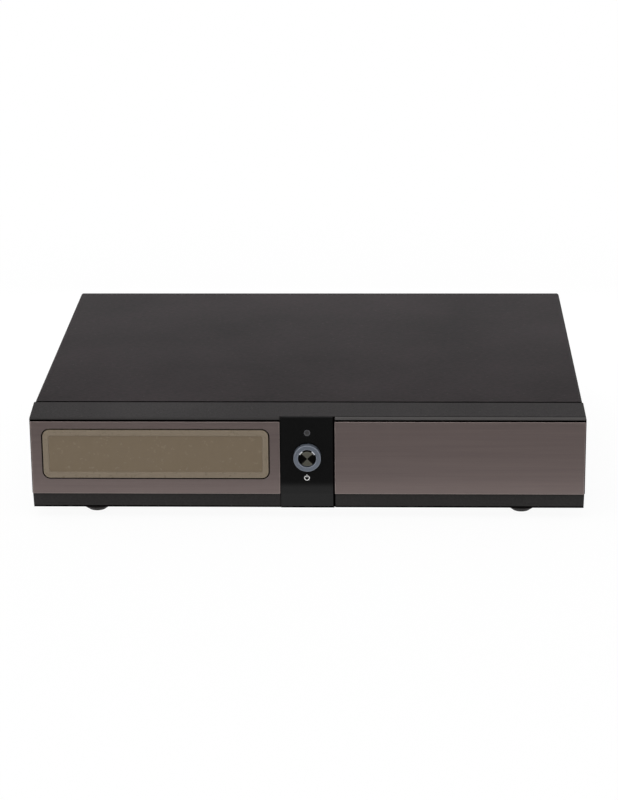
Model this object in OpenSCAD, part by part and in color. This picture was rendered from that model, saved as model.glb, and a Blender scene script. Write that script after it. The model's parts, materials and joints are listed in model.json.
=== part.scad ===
// Digital television receiver with a hard disk: a flat steel case behind a plastic fascia.
// The fascia carries a metal plate with the display window on the left, a gloss panel with the
// power button in the middle and a flap door on the right, which hides keys and card slots.
// Millimetres. X runs to the right, Y to the back and Z up. Depths are written from the front
// faces of the metal plates, and place() then moves everything so that the origin lies on the
// floor under the middle of the box.

/* [Case] */
// Width of the fascia
body_w = 340; // [306:1:374]
// Height from the floor to the top of the cover
body_h = 70.4; // [64:0.1:77]
// Depth from the plate faces to the back of the cover
body_d = 262; // [236:1:288]
// Thickness of the steel sheet
sheet_t = 1; // [0.8:0.1:1.2]
// Wall of the plastic mouldings
wall_t = 2.2; // [2:0.1:2.4]
// How far each side of the cover stands inside the end of the fascia
cover_inset = 1.5; // [1.2:0.1:2]
// Width of the open seam between the fascia and the cover
cover_gap = 1.6; // [1:0.1:2]
// Outer bend radius of the cover
bend_r = 2; // [1.5:0.1:3]
// Height of the tray's side and front flanges
flange_h = 5; // [4:0.5:6]

/* [Vents] */
// Width of a vent slot
vent_w = 3; // [2:0.5:4]
// Length of a vent slot
vent_l = 26; // [16:1:30]
// Pitch of the vent slots
vent_pitch = 7; // [6:0.5:9]
// Number of vent slots in each side of the cover
side_vents = 14; // [8:1:16]
// Number of vent slots in the floor under the disk
floor_vents = 12; // [6:1:14]

/* [Feet] */
// Height of the feet
foot_h = 6.4; // [6:0.1:8]
// Radius of a foot at the case
foot_r = 10; // [8:0.5:11]
// Radius of a foot on the floor
foot_tip_r = 5.8; // [5:0.1:7]
// Distance of the feet from the ends of the fascia
foot_in_x = 38; // [30:1:60]
// Depth of the front feet
foot_front_y = 18.5; // [17:0.5:40]
// Distance of the rear feet from the back of the cover
foot_rear_y = 28; // [20:1:60]

/* [Fascia] */
// Depth of the sloping band on top of the fascia
band_d = 15.5; // [15:0.5:18]
// Height of the cover's top above the rolled lip
band_rise = 6.4; // [5.5:0.1:7.5]
// How far the band's ends stand in at the cover
band_in = 1.3; // [0.8:0.1:1.5]
// Radius where the band rolls over to the front
lip_r = 1.8; // [1.2:0.1:2.2]
// Depth of the front of the rolled lip
lip_front = 0.2; // [0:0.1:0.4]
// Height of the lower edge of the metal plates
plate_z = 16.2; // [14.5:0.1:18]
// Thickness of the metal plates
plate_t = 1; // [0.8:0.1:1.2]
// How far the plates stop short of the ends of the fascia
plate_end = 0.6; // [0.4:0.1:0.8]
// Shadow gap between the plates and the lip
lip_gap = 1.3; // [0.8:0.1:1.5]
// Depth of the lower edge of the black strip under the plates
toe_y = 2.7; // [2.2:0.1:3]
// How far the strip's ends stand in at its top
strip_in_top = 0.3; // [0.2:0.1:0.8]
// How far the strip's ends stand in at its bottom
strip_in_bottom = 0.4; // [0.3:0.1:1.2]

/* [Display] */
// Distance of the window from the end of the fascia
window_left = 7.7; // [6:0.1:9]
// Distance of the window from the inner end of its plate
window_right = 6.9; // [5:0.1:9]
// Distance of the window from the lower edge of the plate
window_up = 10.3; // [8:0.1:11]
// Distance of the window from the upper edge of the plate
window_down = 5.3; // [4.5:0.1:8]
// Corner radius of the display window
window_r = 4.2; // [3:0.1:6]
// Width of the raised rim of the window
window_rim = 3.5; // [2:0.1:4.5]
// Width of the dark gap round the window
window_gap = 0.6; // [0.4:0.1:0.8]
// How far the rim stands in front of the plate
window_proud = 0.5; // [0.3:0.1:0.8]

/* [Power button] */
// Width of the gloss panel in the middle
centre_w = 33; // [30:0.5:36]
// Depth of the front of the gloss panel
centre_y = 0.4; // [0.2:0.1:0.6]
// Distance of the power button's axis from the plates' upper edge
button_down = 22.5; // [21:0.1:25]
// Radius of the power button
button_r = 5.4; // [4.8:0.1:6]
// Width of the ring around the power button
ring_w = 2.75; // [2.4:0.05:3.1]
// How far the ring stands in front of the plates
ring_proud = 3.5; // [2:0.1:4]
// Travel of the power button and the keys
key_travel = 0.8; // [0.5:0.1:1]
// Distance of the remote control's eye from the plates' upper edge
eye_down = 7.1; // [6.5:0.1:8.5]
// Radius of the remote control's eye
eye_r = 1.7; // [1.2:0.1:2]

/* [Door] */
// Gap around the flap door
door_gap = 0.4; // [0.3:0.05:0.5]
// Thickness of the door's skin
door_skin = 1.6; // [1.4:0.1:1.8]
// Depth of the door's end walls
door_d = 7.6; // [6.8:0.1:8.2]
// Number of ribs inside the door
door_ribs = 6; // [4:2:8]
// Depth of the hinge axis
hinge_y = 5.2; // [4.9:0.1:5.5]
// Height of the hinge axis above the strip's lower edge
hinge_up = 2.6; // [2.4:0.1:2.8]
// Radius of the hinge pins
pin_r = 0.9; // [0.8:0.05:1]
// Radius of the hinge lugs
lug_r = 1.9; // [1.7:0.05:2.1]
// Width of the hinge lugs
lug_w = 5; // [4:0.5:6]
// Distance of the hinges from the ends of the door
hinge_in = 18; // [14:1:20]

/* [Control panel] */
// Depth of the control panel behind the door
panel_y = 11.5; // [11:0.1:12.5]
// Thickness of the control panel
panel_t = 2; // [1.8:0.1:2.2]
// Width of a key
key_w = 9; // [8:0.5:10]
// Height of a key
key_h = 6.5; // [5.5:0.5:7]
// Distance between the keys' columns
key_pitch_x = 13; // [12:0.5:14]
// Distance between the keys' rows
key_pitch_z = 12; // [10:0.5:13]
// Width of a card slot
card_w = 55; // [54:0.1:58]
// Height of a card slot
card_h = 5.8; // [5.4:0.1:6.2]
// Distance between the two card slots
card_pitch = 12; // [11:0.5:13]
// Depth of a card slot
card_d = 90; // [84:1:96]
// Travel of an eject button
eject_travel = 3; // [2.5:0.5:3.5]

/* [Boards and drive] */
// Thickness of the circuit boards
board_t = 1.6; // [1.2:0.1:2]
// Height of the pillars under the boards
pillar_h = 6.5; // [6:0.5:7]
// Length of the hard disk
disk_l = 147; // [140:0.1:150]
// Width of the hard disk
disk_w = 101.6; // [98:0.1:104]
// Height of the hard disk
disk_h = 26.1; // [19:0.1:27]
// Side of the fan's frame
fan_s = 40; // [36:1:42]
// Depth of the fan's frame
fan_d = 20; // [15:1:25]
// Number of fan blades
fan_blades = 7; // [5:1:9]

/* [Rear connectors] */
// Radius of the aerial connectors' threads
f_r = 4.76; // [4.6:0.02:4.9]
// Length of the aerial connectors
f_l = 11; // [9:0.5:13]
// Radius of the phono sockets' barrels
phono_r = 4.15; // [4:0.05:4.3]
// Radius of the phono sockets' contact holes
phono_bore_r = 1.65; // [1.5:0.05:1.8]
// Length of the phono sockets' barrels
phono_l = 8; // [7:0.5:9]

/* [Hidden] */
$fn = 48;

// Clearances, how far a cut runs past a face, and how far joined shapes of a piece run together
fit = 0.25;
run_fit = 0.06;
seat_gap = 0.3;
over = 1;
weld = 0.5;

// Colours
steel_black = [0.16, 0.155, 0.16];
bezel_black = [0.07, 0.07, 0.07];
gloss_black = [0.03, 0.03, 0.03];
bronze = [0.38, 0.335, 0.325];
olive = [0.44, 0.4, 0.33];
chrome = [0.62, 0.65, 0.7];
rubber = [0.08, 0.08, 0.08];
zinc = [0.7, 0.71, 0.72];
board_green = [0.1, 0.32, 0.17];
laminate_tan = [0.55, 0.42, 0.2];
dark_plastic = [0.12, 0.12, 0.13];
grey_metal = [0.55, 0.56, 0.57];
tube_grey = [0.2, 0.22, 0.2];
cable_grey = [0.75, 0.75, 0.72];
sleeve_blue = [0.1, 0.12, 0.3];
ferrite_brown = [0.25, 0.22, 0.18];
rocker_red = [0.6, 0.08, 0.06];

// Case
half_w = body_w / 2;
cover_x = half_w - cover_inset;
inner_x = cover_x - sheet_t;
rear_out = body_d - sheet_t;
rear_in = rear_out - sheet_t;
floor_top = foot_h + sheet_t;
board_z = floor_top + pillar_h;
board_top = board_z + board_t;
cover_in_z = body_h - sheet_t;
cover_flange_h = 8;
flange_relief = 1;
tray_x = inner_x - fit;
tray_y = band_d;
mid_y = (rear_out + f_l - ring_proud) / 2;
foot_round = 0.8;
foot_rim = 3;

// Screws
screw_r = 1.3;
screw_head_r = 2.8;
screw_head_h = 1.6;
low_head_h = 0.9;
screw_l = 5;
fan_screw_l = 12;
side_screw_in = [30, 40];
side_screw_y = [band_d + side_screw_in[0], body_d - side_screw_in[1]];
side_screw_z = floor_top + flange_h / 2;
rear_screw_in = 40;
rear_screw_x = [-half_w + rear_screw_in, 0, half_w - rear_screw_in];
rear_screw_z = body_h - (cover_flange_h + sheet_t) / 2;

// Fascia: the lip's arc runs into the sloping band, which ends at the cover
lip_z = body_h - band_rise;
plate_top = lip_z - lip_gap;
face_back = plate_t + wall_t;
band_run = [band_d - lip_front - lip_r, band_rise];
band_angle = atan2(band_run.y, band_run.x) - asin(lip_r / norm(band_run));
seam = [lip_front + lip_r - lip_r * sin(band_angle), lip_z + lip_r * cos(band_angle)];
seam_slope = 0.8;
roof_t = wall_t / cos(band_angle);
roof_gap = 0.3;
lip_steps = 8;
tongue_t = 1.2;
tongue_in = 4;
tongue_run = [2, 5];
centre_back = face_back;
backing_back = centre_back + wall_t;

// Display
plate_in = -centre_w / 2 - door_gap;
window_w = half_w + plate_in - window_left - window_right;
window_h = plate_top - plate_z - window_up - window_down;
window_x = -half_w + window_left + window_w / 2;
window_z = plate_z + window_up + window_h / 2;
window_in_r = 1.4;
window_flange = 1.5;
window_flange_t = 1.2;
window_sink = 0.5;

// Door
door_x = centre_w / 2 + door_gap;
door_in = plate_t + door_skin;
door_end_t = 1.8;
door_top_run = 2.2;
door_ledge = 2.5;
rib_t = 1.2;
rib_d = 1.2;
rib_end = 3;
hinge_z = foot_h + hinge_up;
hinge_x = [door_x + hinge_in, half_w - hinge_in];
arm_w = 3;
arm_r = 2.3;
arm_gap = 0.3;
arm_toe = [0.6, 0.4];
arm_top = 4;
swing_r = norm([hinge_y - toe_y, hinge_up]) + seat_gap;
lug_root = 0.5;
bay_back = door_d + door_gap;
bay_floor_y = panel_y - lug_root;
catch_x = (door_x + half_w) / 2;
catch_w = 12;
catch_h = 6;
catch_down = 6;
catch_z = lip_z - catch_down;
strike_t = 0.8;
divider_t = 2.2;

// Control panel, from the keys on the left to the card slots on the right
panel_back = panel_y + panel_t;
panel_margin = 4;
front_board_in_y = 6.5;
front_board_y = panel_back + front_board_in_y;
plunger_r = 1.5;
switch_h = 4;
switch_front = front_board_y - switch_h;
plunger_in = 1;
plunger_end = switch_front + plunger_in;
switch_s = 6.6;
key_proud = 1.8;
key_front = panel_y - key_proud;
key_r = 1.6;
key_flange = 1;
key_flange_t = 1;
key_field = key_pitch_x + key_w / 2 + key_flange;
key_x = centre_w / 2 + panel_margin + key_field;
key_z = (plate_z + plate_top) / 2;
usb_size = [13.2, 15, 6];
usb_mouth = [12, 4.9];
usb_back = 2;
usb_tongue = [11, 1.8];
usb_tongue_in = 1.2;
usb_gap = 3;
usb_sink = 0.4;
usb_x = key_x + key_field + usb_gap + usb_size[0] / 2;
eject_w = 3;
eject_h = 5;
eject_gap = 4;
eject_rest = 0.4;
eject_x = usb_x + usb_size[0] / 2 + eject_gap + eject_w / 2;
eject_front = panel_y - eject_travel - eject_rest;
eject_tail = 4;
guide_in = 48;
guide_y = panel_back + guide_in;
guide_t = 6;
guide_wall = 2;
cage_gap = 0.5;
cage_rail = 6;
cage_plate = 1.2;
cage_head = 8;
cage_x = [eject_x + eject_w / 2 + cage_gap, eject_x + eject_w / 2 + cage_gap + card_w + 2 * cage_rail];
card_x = (cage_x[0] + cage_x[1]) / 2;
card_up = 3;
cage_back = panel_back + card_d + cage_head;

// Power button
button_z = plate_top - button_down;
eye_z = plate_top - eye_down;
ring_gap = 0.2;
ring_in_r = button_r + ring_gap;
ring_r = ring_in_r + ring_w;
ring_round = 0.9;
button_in = 1;
button_face = button_in - ring_proud;
button_dish = 0.5;
button_rim = [1.1, 0.2];
button_flange = 1.6;
eye_sink = [0.3, 0.4, 0.8];
eye_dome = 0.5;
eye_flange = 1.2;
eye_flange_t = 1;

// Drive
disk_in = 10;
disk_front = 28;
disk_lift = 8;
disk_lid = [3, 4];
disk_lid_r = 6;
disk_x = [-half_w + disk_in, -half_w + disk_in + disk_l];
disk_y = [disk_front, disk_front + disk_w];
disk_z = floor_top + disk_lift;
bracket_t = 1;
bracket_flange_h = 12;
bracket_foot = 9;
bracket_in = [12, 6];
bracket_frame = [35, 20];
bracket_hole_r = 8;
bracket_x = [disk_x[0] + bracket_in[0], disk_x[1] - bracket_in[1]];
bracket_screw_in = [28, 18];
bracket_screw_x = [disk_x[0] + bracket_screw_in[0], disk_x[1] - bracket_screw_in[1]];
bracket_screw_up = 6.4;
bracket_screw_z = disk_z + bracket_screw_up;

// Boards
board_edge = 5;
board_rear = 10;
pillar_r = 3;
main_in = 5;
main_right = half_w - main_in;
main_gap = [15, 6.4];
main_step = [disk_x[1] + main_gap[0], disk_y[1] + main_gap[1]];
main_lead = 3;
main_front = tray_y + main_lead;
main_rear = rear_in - board_rear;
main_pillar_rear = 22;
main_pillars = [for (p = [[main_step[0] + board_edge, main_front + board_edge],
                          [main_step[0] + board_edge, (main_front + main_rear) / 2],
                          [main_step[0] + board_edge, main_rear - main_pillar_rear],
                          [main_right - board_edge, cage_back + board_edge],
                          [main_right - board_edge, main_rear - main_pillar_rear]]) p];
power_in = 8;
power_size = [58, 78];
power_pillar_rear = 15;
power_x = [-half_w + power_in, -half_w + power_in + power_size[0]];
power_y = [main_rear - power_size[1], main_rear];
power_pillars = [for (x = [power_x[0] + board_edge, power_x[1] - board_edge],
                      y = [power_y[0] + board_edge, power_y[1] - power_pillar_rear]) [x, y]];
front_board_in = [9, 1];
front_board_x = [-half_w + front_board_in[0], key_x + key_field + front_board_in[1]];
front_board_up = 2.4;
front_board_z = [board_top + front_board_up, plate_top];
tube_t = 8;
tube_margin = [4.6, 3.1];
tube_r = 1;
boss_r = 1.6;
boss_in = [13, 4.5];
boss_under = 4.2;
boss_top = 2;
boss_at = [for (x = [-half_w + boss_in[0], plate_in - boss_in[1]],
                z = [window_z - window_h / 2 - boss_under, plate_top - boss_top]) [x, z]];
ribbon_in = 8;
ribbon_w = 26;
ribbon_t = 0.7;
ribbon_up = 13;
ribbon_run = [5, 12, 18];
ribbon_x = [main_step[0] + ribbon_in, main_step[0] + ribbon_in + ribbon_w];

// Decoder chip, its heat sink and the memory
chip_s = 31;
chip_t = 2.4;
sink_s = 38;
sink_base = 3;
sink_h = 16;
sink_fins = 9;
sink_fin_t = 1.4;
sink_gap = 8;
chip_in = 60;
chip_x = main_step[0] + chip_in;
chip_y = cage_back + sink_gap + sink_s / 2;
memory_size = [12, 13, 1.2];
memory_pitch = 18;

// Rear connectors, each placed by its middle
socket_gap = 2.5;
socket_proud = 0.6;
tuner_w = 22;
tuner_d = 56;
tuner_h = 40;
tuner_in = 20;
tuner_gap = 3;
tuner_x = [main_right - tuner_in - tuner_w - tuner_gap, main_right - tuner_in];
f_up = [10, 30];
f_base_r = 6.6;
f_nut_r = 6.35;
f_nut_l = 2.5;
scart_w = 52;
scart_d = 24;
scart_x = tuner_x[0] - tuner_w / 2 - socket_gap - scart_w / 2;
scart_rows = [9, 26];
scart_face = [46, 14.4];
scart_proud = 1.2;
scart_cut = [4, 6];
scart_groove = [1, 2.5];
scart_deep = 7;
scart_roof = 1.6;
scart_top = scart_rows[1] + scart_face[1] / 2 + scart_roof;
pin_slot = [0.9, 3];
pin_slots = 10;
pin_slot_pitch = 3.8;
pin_slot_z = 2.4;
phono_pitch = [12.5, 14];
phono_up = 9;
phono_edge = [0.5, 7];
phono_block = [3 * phono_pitch[0] + 2 * phono_edge[0], 18, phono_up + phono_pitch[1] + phono_edge[1]];
phono_x = scart_x - scart_w / 2 - socket_gap - phono_block[0] / 2;
phono_ring_r = 5.5;
phono_ring_l = 3;
hdmi_size = [15.4, 12, 6.2];
hdmi_mouth = [14, 4.6];
hdmi_corner = 1.6;
hdmi_tongue = [10, 1.2];
hdmi_tongue_in = 1.2;
hdmi_back = 2;
hdmi_x = phono_x - phono_block[0] / 2 - socket_gap - hdmi_size[0] / 2;
ethernet_size = [16, 20, 13.4];
ethernet_mouth = [11.8, 7.6];
ethernet_mouth_up = 3.8;
ethernet_notch = [6.2, 2.4];
ethernet_depth = 14;
ethernet_x = hdmi_x - hdmi_size[0] / 2 - socket_gap - ethernet_size[0] / 2;
main_left = ethernet_x - ethernet_size[0] / 2 - socket_gap;

// Power supply, placed from the board's front left corner
inlet_at = 40;
inlet_x = power_x[0] + inlet_at;
inlet_size = [21, 22, 14];
inlet_proud = 0.8;
inlet_pin_r = 1.2;
inlet_pin_x = 4.3;
inlet_pin_in = 2.8;
inlet_cup_r = 4.1;
inlet_waist = 0.8;
inlet_cup_d = 12;
switch_at = [14, 16];
switch_x = power_x[0] + switch_at[0];
switch_z = board_top + switch_at[1];
switch_size = [12, 14, 19];
switch_rim = 1.5;
switch_rim_t = 1.6;
switch_well = 9;
rocker_size = [8.6, 15.6];
rocker_side = 0.8;
rocker_rest = 8;
rocker_pin_r = 1.2;
rocker_pin_l = 1;
rocker_in = 2.4;
rocker_y = rear_out - rocker_in;
core_at = [24, 26];
core_s = [34, 30, 26];
core_leg = 6;
winding_in = 2;
capacitor_at = [[13, 54], [50, 14], [50, 27], [50, 40]];
capacitor_r = [8.5, 5, 5, 4];
capacitor_h = [32, 20, 20, 16];
power_sink_at = [24, 52];
power_sink_size = [26, 2, 30];
power_sink_fins = 4;
power_fin = [2, 6];
power_fin_up = 4;

// Fan, between the power board and the main board
fan_lift = 8;
fan_x = (power_x[1] + main_left) / 2;
fan_z = floor_top + fan_lift + fan_s / 2;
fan_corner_r = 3;
fan_wall = 1.2;
fan_bore_r = fan_s / 2 - fan_wall;
fan_tip_gap = 0.6;
fan_tip_r = fan_bore_r - fan_tip_gap;
fan_hub_r = 11;
fan_hub_t = 1.6;
fan_front = rear_in - fan_d;
fan_hole_in = 4;
fan_hole = fan_s / 2 - fan_hole_in;
fan_shaft_r = 1.2;
fan_post_r = 3.4;
fan_post_in = 7;
fan_base_t = 3;
fan_spoke = [3, 2.5];
fan_end_gap = 0.6;
fan_face = 1;
shaft_end = 2;
blade_t = 1.2;
blade_pitch = 35;
grille_rings = 4;
grille_pitch = 4.2;
grille_w = 2.4;

module place() {
    translate([0, -mid_y, 0]) children();
}

// A box from corner to corner
module slab(x, y, z) {
    translate([x[0], y[0], z[0]]) cube([x[1] - x[0], y[1] - y[0], z[1] - z[0]]);
}

// A section drawn in depth and height, run along X
module along_x(x) {
    translate([x[0], 0, 0]) rotate([90, 0, 90]) linear_extrude(x[1] - x[0]) children();
}

// A face drawn in width and height, run along Y
module along_y(y) {
    translate([0, y[1], 0]) rotate([90, 0, 0]) linear_extrude(y[1] - y[0]) children();
}

// A rod along Y
module rod_y(r, x, z, y, sides = $fn) {
    translate([x, y[0], z]) rotate([-90, 0, 0]) cylinder(r = r, h = y[1] - y[0], $fn = sides);
}

// A rod along X
module rod_x(r, y, z, x) {
    translate([x[0], y, z]) rotate([0, 90, 0]) cylinder(r = r, h = x[1] - x[0]);
}

// A shape turned about a Y axis, drawn as radius and depth
module turned(x, z) {
    translate([x, 0, z]) rotate([-90, 0, 0]) rotate_extrude() children();
}

// A rectangle with round corners about its middle
module round_rect(w, h, r) {
    square([w - 2 * r, h], center = true);
    square([w, h - 2 * r], center = true);
    for (x = [-1, 1], y = [-1, 1]) translate([x * (w / 2 - r), y * (h / 2 - r)]) circle(r);
}

// A slot with round ends along the second axis
module slot(w, l) {
    square([w, l - w], center = true);
    for (s = [-1, 1]) translate([0, s * (l - w) / 2]) circle(w / 2);
}

// A row of slots about the middle
module vent_row(n, w, l, pitch) {
    for (i = [0 : n - 1]) translate([(i - (n - 1) / 2) * pitch, 0]) slot(w, l);
}

// A screw that points down, with the underside of its head at the origin
module screw(l, head_h = screw_head_h) {
    cylinder(r = screw_head_r, h = head_h);
    translate([0, 0, -l]) cylinder(r = screw_r, h = l);
}

// Fascia

function arc(c, r, from, to, n) =
    [for (i = [0 : n]) let (a = from + (to - from) * i / n) c + r * [cos(a), sin(a)]];

// Height of the band's top surface
function band_z(y) = body_h - (band_d - y) * tan(band_angle);

// Height of the slanting seam over the door and the gloss panel
function seam_z(y) = seam[1] - (y - seam[0]) * seam_slope;

// The fascia's front outline, from the strip's lower edge up to the seam
function front_edge(toe, face, lip) = concat(
    [[toe, foot_h], [face, plate_z], [face, lip_z]],
    arc([lip + lip_r, lip_z], lip_r, 180, 90 + band_angle, lip_steps));

// What the slanting ends of the strip and the band cut away
module fascia_ends() {
    for (s = [-1, 1]) along_y([-over, band_d + over]) {
        polygon([[s * (half_w + over), foot_h - over], [s * (half_w - strip_in_bottom), foot_h - over],
                 [s * (half_w - strip_in_bottom), foot_h], [s * (half_w - strip_in_top), plate_z],
                 [s * (half_w + over), plate_z]]);
        polygon([[s * (half_w + over), lip_z], [s * half_w, lip_z], [s * (half_w - band_in), body_h],
                 [s * (half_w - band_in), body_h + over], [s * (half_w + over), body_h + over]]);
    }
}

// Everything in front of the seam, back to a depth
module in_front_of_seam(x, back, gap) {
    along_x(x)
        polygon([[-over, foot_h - over], [back, foot_h - over], [back, seam_z(back - gap)],
                 [seam[0] + gap, seam[1]], [seam[0] + gap, seam[1] + over], [-over, seam[1] + over]]);
}

// A hinge lug on the fascia's floor, which clears the swing of the door's lower edge
module hinge_lug(x) {
    difference() {
        along_x([x - lug_w / 2, x + lug_w / 2]) {
            translate([hinge_y, hinge_z]) circle(lug_r);
            polygon([[hinge_y, hinge_z + seat_gap], [hinge_y + swing_r, hinge_z + seat_gap],
                     [hinge_y + swing_r, foot_h + lug_root], [panel_y, foot_h + lug_root],
                     [panel_y, foot_h + wall_t], [panel_y - seat_gap, hinge_z + lug_r],
                     [hinge_y, hinge_z + lug_r]]);
        }
        rod_x(pin_r + run_fit, hinge_y, hinge_z, [x - lug_w, x + lug_w]);
    }
}

module window_shape(grow) {
    translate([window_x, window_z]) round_rect(window_w + 2 * grow, window_h + 2 * grow, window_r + grow);
}

module front_bezel() color(bezel_black) difference() {
    union() {
        difference() {
            along_x([-half_w, half_w])
                polygon(concat(front_edge(toe_y, plate_t, lip_front), [[band_d, body_h],
                               [band_d, foot_h]]));
            along_x([-half_w + wall_t, half_w - wall_t])
                polygon([[band_d + over, foot_h + wall_t], [toe_y + wall_t, foot_h + wall_t],
                         [face_back, plate_z],
                         [face_back, band_z(face_back) - roof_t],
                         [band_d + over, band_z(band_d + over) - roof_t]]);
            in_front_of_seam([-centre_w / 2 - fit, half_w + over], centre_back, door_gap);
            in_front_of_seam([door_x - door_gap, half_w + over], bay_back, door_gap);
            slab([door_x - door_gap, half_w + over], [0, bay_floor_y],
                 [foot_h - over, hinge_z + lug_r + over]);
        }
        // Wall behind the gloss panel, and the wall between it and the door's bay
        along_x([-centre_w / 2 - wall_t, centre_w / 2])
            polygon([[centre_back, foot_h], [backing_back, foot_h],
                     [backing_back, band_z(backing_back) - roof_t / 2],
                     [centre_back, band_z(centre_back) - roof_t / 2]]);
        along_x([centre_w / 2 - divider_t, centre_w / 2])
            polygon([[centre_back, foot_h], [band_d, foot_h], [band_d, band_z(band_d) - roof_t / 2],
                     [centre_back, band_z(centre_back) - roof_t / 2]]);
        // Tongue that the cover slides over
        slab([-inner_x + tongue_in, inner_x - tongue_in], [band_d - tongue_run[0], band_d + tongue_run[1]],
             [cover_in_z - fit - tongue_t, cover_in_z - fit]);
        for (x = hinge_x) hinge_lug(x);
        for (b = boss_at) rod_y(boss_r, b[0], b[1], [face_back - weld, front_board_y]);
    }
    fascia_ends();
    along_y([0, face_back + over]) window_shape(fit);
    rod_y(ring_in_r, 0, button_z, [0, band_d]);
    rod_y(eye_r + fit, 0, eye_z, [0, band_d]);
}

module centre_panel() color(gloss_black) difference() {
    along_x([-centre_w / 2, centre_w / 2])
        polygon(concat(front_edge(toe_y - plate_t + centre_y, centre_y, centre_y),
                       [[centre_back, seam_z(centre_back)], [centre_back, foot_h]]));
    rod_y(ring_r + fit, 0, button_z, [-over, centre_back + over]);
    rod_y(eye_r + fit, 0, eye_z, [-over, centre_back + over]);
}

module plate(x) {
    slab(x, [0, plate_t], [plate_z, plate_top]);
}

module display_plate() color(bronze) difference() {
    plate([-half_w + plate_end, plate_in]);
    along_y([-over, plate_t + over]) window_shape(window_gap);
}

module display_window() color(olive) difference() {
    union() {
        along_y([-window_proud, face_back]) window_shape(0);
        along_y([face_back, face_back + window_flange_t]) window_shape(window_flange);
    }
    translate([window_x, 0, window_z])
        along_y([-window_proud - over, window_sink - window_proud])
            round_rect(window_w - 2 * window_rim, window_h - 2 * window_rim, window_in_r);
}

// Door

module door_arm(x) {
    along_x([x - arm_w / 2, x + arm_w / 2]) difference() {
        union() {
            translate([hinge_y, hinge_z]) circle(arm_r);
            polygon([[toe_y + arm_toe[0], foot_h + arm_toe[1]], [hinge_y, hinge_z - arm_r],
                     [hinge_y + arm_r, hinge_z],
                     [door_in - weld, plate_z + arm_top], [door_in - weld, plate_z]]);
        }
        translate([hinge_y, hinge_z]) circle(pin_r + run_fit);
    }
}

// The door's end walls, from the hinge up to the seam
module door_end(x) {
    along_x([x, x + door_end_t])
        polygon([[plate_t, plate_z], [toe_y + arm_toe[0], foot_h + arm_toe[1]], [hinge_y, hinge_z - arm_r],
                 [hinge_y + arm_r, hinge_z], [door_d, hinge_z + 2 * arm_r], [door_d, seam_z(door_d)],
                 [seam[0] + door_top_run, seam_z(seam[0] + door_top_run)], [plate_t, lip_z]]);
}

module door_shell() color(bezel_black) {
    difference() {
        union() {
            along_x([door_x, half_w])
                polygon(concat(front_edge(toe_y, plate_t, lip_front),
                               [[seam[0] + door_top_run, seam_z(seam[0] + door_top_run)],
                                [door_in, lip_z - door_ledge], [door_in, plate_z],
                                [toe_y + door_skin, foot_h]]));
            for (x = [door_x, half_w - door_end_t]) door_end(x);
            for (i = [1 : door_ribs])
                translate([door_x + i * (half_w - door_x) / (door_ribs + 1), 0, 0])
                    slab([-rib_t / 2, rib_t / 2], [door_in - weld, door_in + rib_d],
                         [plate_z + rib_end, lip_z - door_ledge - rib_end]);
        }
        fascia_ends();
        for (x = hinge_x) {
            rod_x(lug_r + seat_gap, hinge_y, hinge_z, [x - lug_w / 2 - arm_gap, x + lug_w / 2 + arm_gap]);
            rod_x(pin_r + run_fit, hinge_y, hinge_z,
                  [x - lug_w / 2 - arm_gap - arm_w, x + lug_w / 2 + arm_gap + arm_w]);
        }
    }
    for (x = hinge_x, s = [-1, 1]) door_arm(x + s * (lug_w / 2 + arm_gap + arm_w / 2));
}

module door_plate() color(bronze) plate([door_x, half_w - plate_end]);

module door_hinge_pins() color(zinc)
    for (x = hinge_x)
        rod_x(pin_r, hinge_y, hinge_z, [x - lug_w / 2 - arm_gap - arm_w, x + lug_w / 2 + arm_gap + arm_w]);

module catch_block(y) {
    slab([catch_x - catch_w / 2, catch_x + catch_w / 2], y, [catch_z - catch_h / 2, catch_z + catch_h / 2]);
}

module door_strike() color(zinc) catch_block([door_in, door_in + strike_t]);

module door_magnet() color(dark_plastic) catch_block([door_in + strike_t + seat_gap, panel_y]);

// Power button

module power_button_ring() color(chrome) turned(0, button_z)
    polygon(concat([[ring_in_r, centre_back]],
        arc([ring_in_r + ring_round, ring_round - ring_proud], ring_round, 180, 270, lip_steps),
        arc([ring_r - ring_round, ring_round - ring_proud], ring_round, 270, 360, lip_steps),
        [[ring_r, centre_back]]));

module power_button() color(chrome) turned(0, button_z)
    polygon([[0, button_face + button_dish], [button_r - button_rim[0], button_face],
             [button_r, button_face + button_rim[1]],
             [button_r, backing_back + seat_gap], [button_r + button_flange, backing_back + seat_gap],
             [button_r + button_flange, backing_back + seat_gap + key_flange_t],
             [plunger_r, backing_back + seat_gap + key_flange_t], [plunger_r, plunger_end],
             [0, plunger_end]]);

module remote_eye() color(dark_plastic) turned(0, eye_z)
    polygon([[0, centre_y + eye_sink[0]], [eye_r - eye_dome, centre_y + eye_sink[1]],
             [eye_r, centre_y + eye_sink[2]],
             [eye_r, backing_back], [eye_r + eye_flange, backing_back],
             [eye_r + eye_flange, backing_back + eye_flange_t], [0, backing_back + eye_flange_t]]);

// Control panel behind the door

// Keys by column and row of the key field
key_cells = [["menu_key", -1, 1], ["exit_key", 1, 1], ["ok_key", 0, 0], ["channel_up_key", 0, 1],
             ["channel_down_key", 0, -1], ["volume_up_key", 1, 0], ["volume_down_key", -1, 0]];

function key_place(cell) = [key_x + cell[1] * key_pitch_x, key_z + cell[2] * key_pitch_z];
function key_named(name) = [for (c = key_cells) if (c[0] == name) c][0];

module key(name) color(dark_plastic) {
    p = key_place(key_named(name));
    translate([p[0], 0, p[1]]) {
        along_y([key_front, panel_back + seat_gap + weld]) round_rect(key_w, key_h, key_r);
        along_y([panel_back + seat_gap, panel_back + seat_gap + key_flange_t])
            round_rect(key_w + 2 * key_flange, key_h + 2 * key_flange, key_r);
        rod_y(plunger_r, 0, 0, [panel_back + seat_gap, plunger_end]);
    }
}

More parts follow.
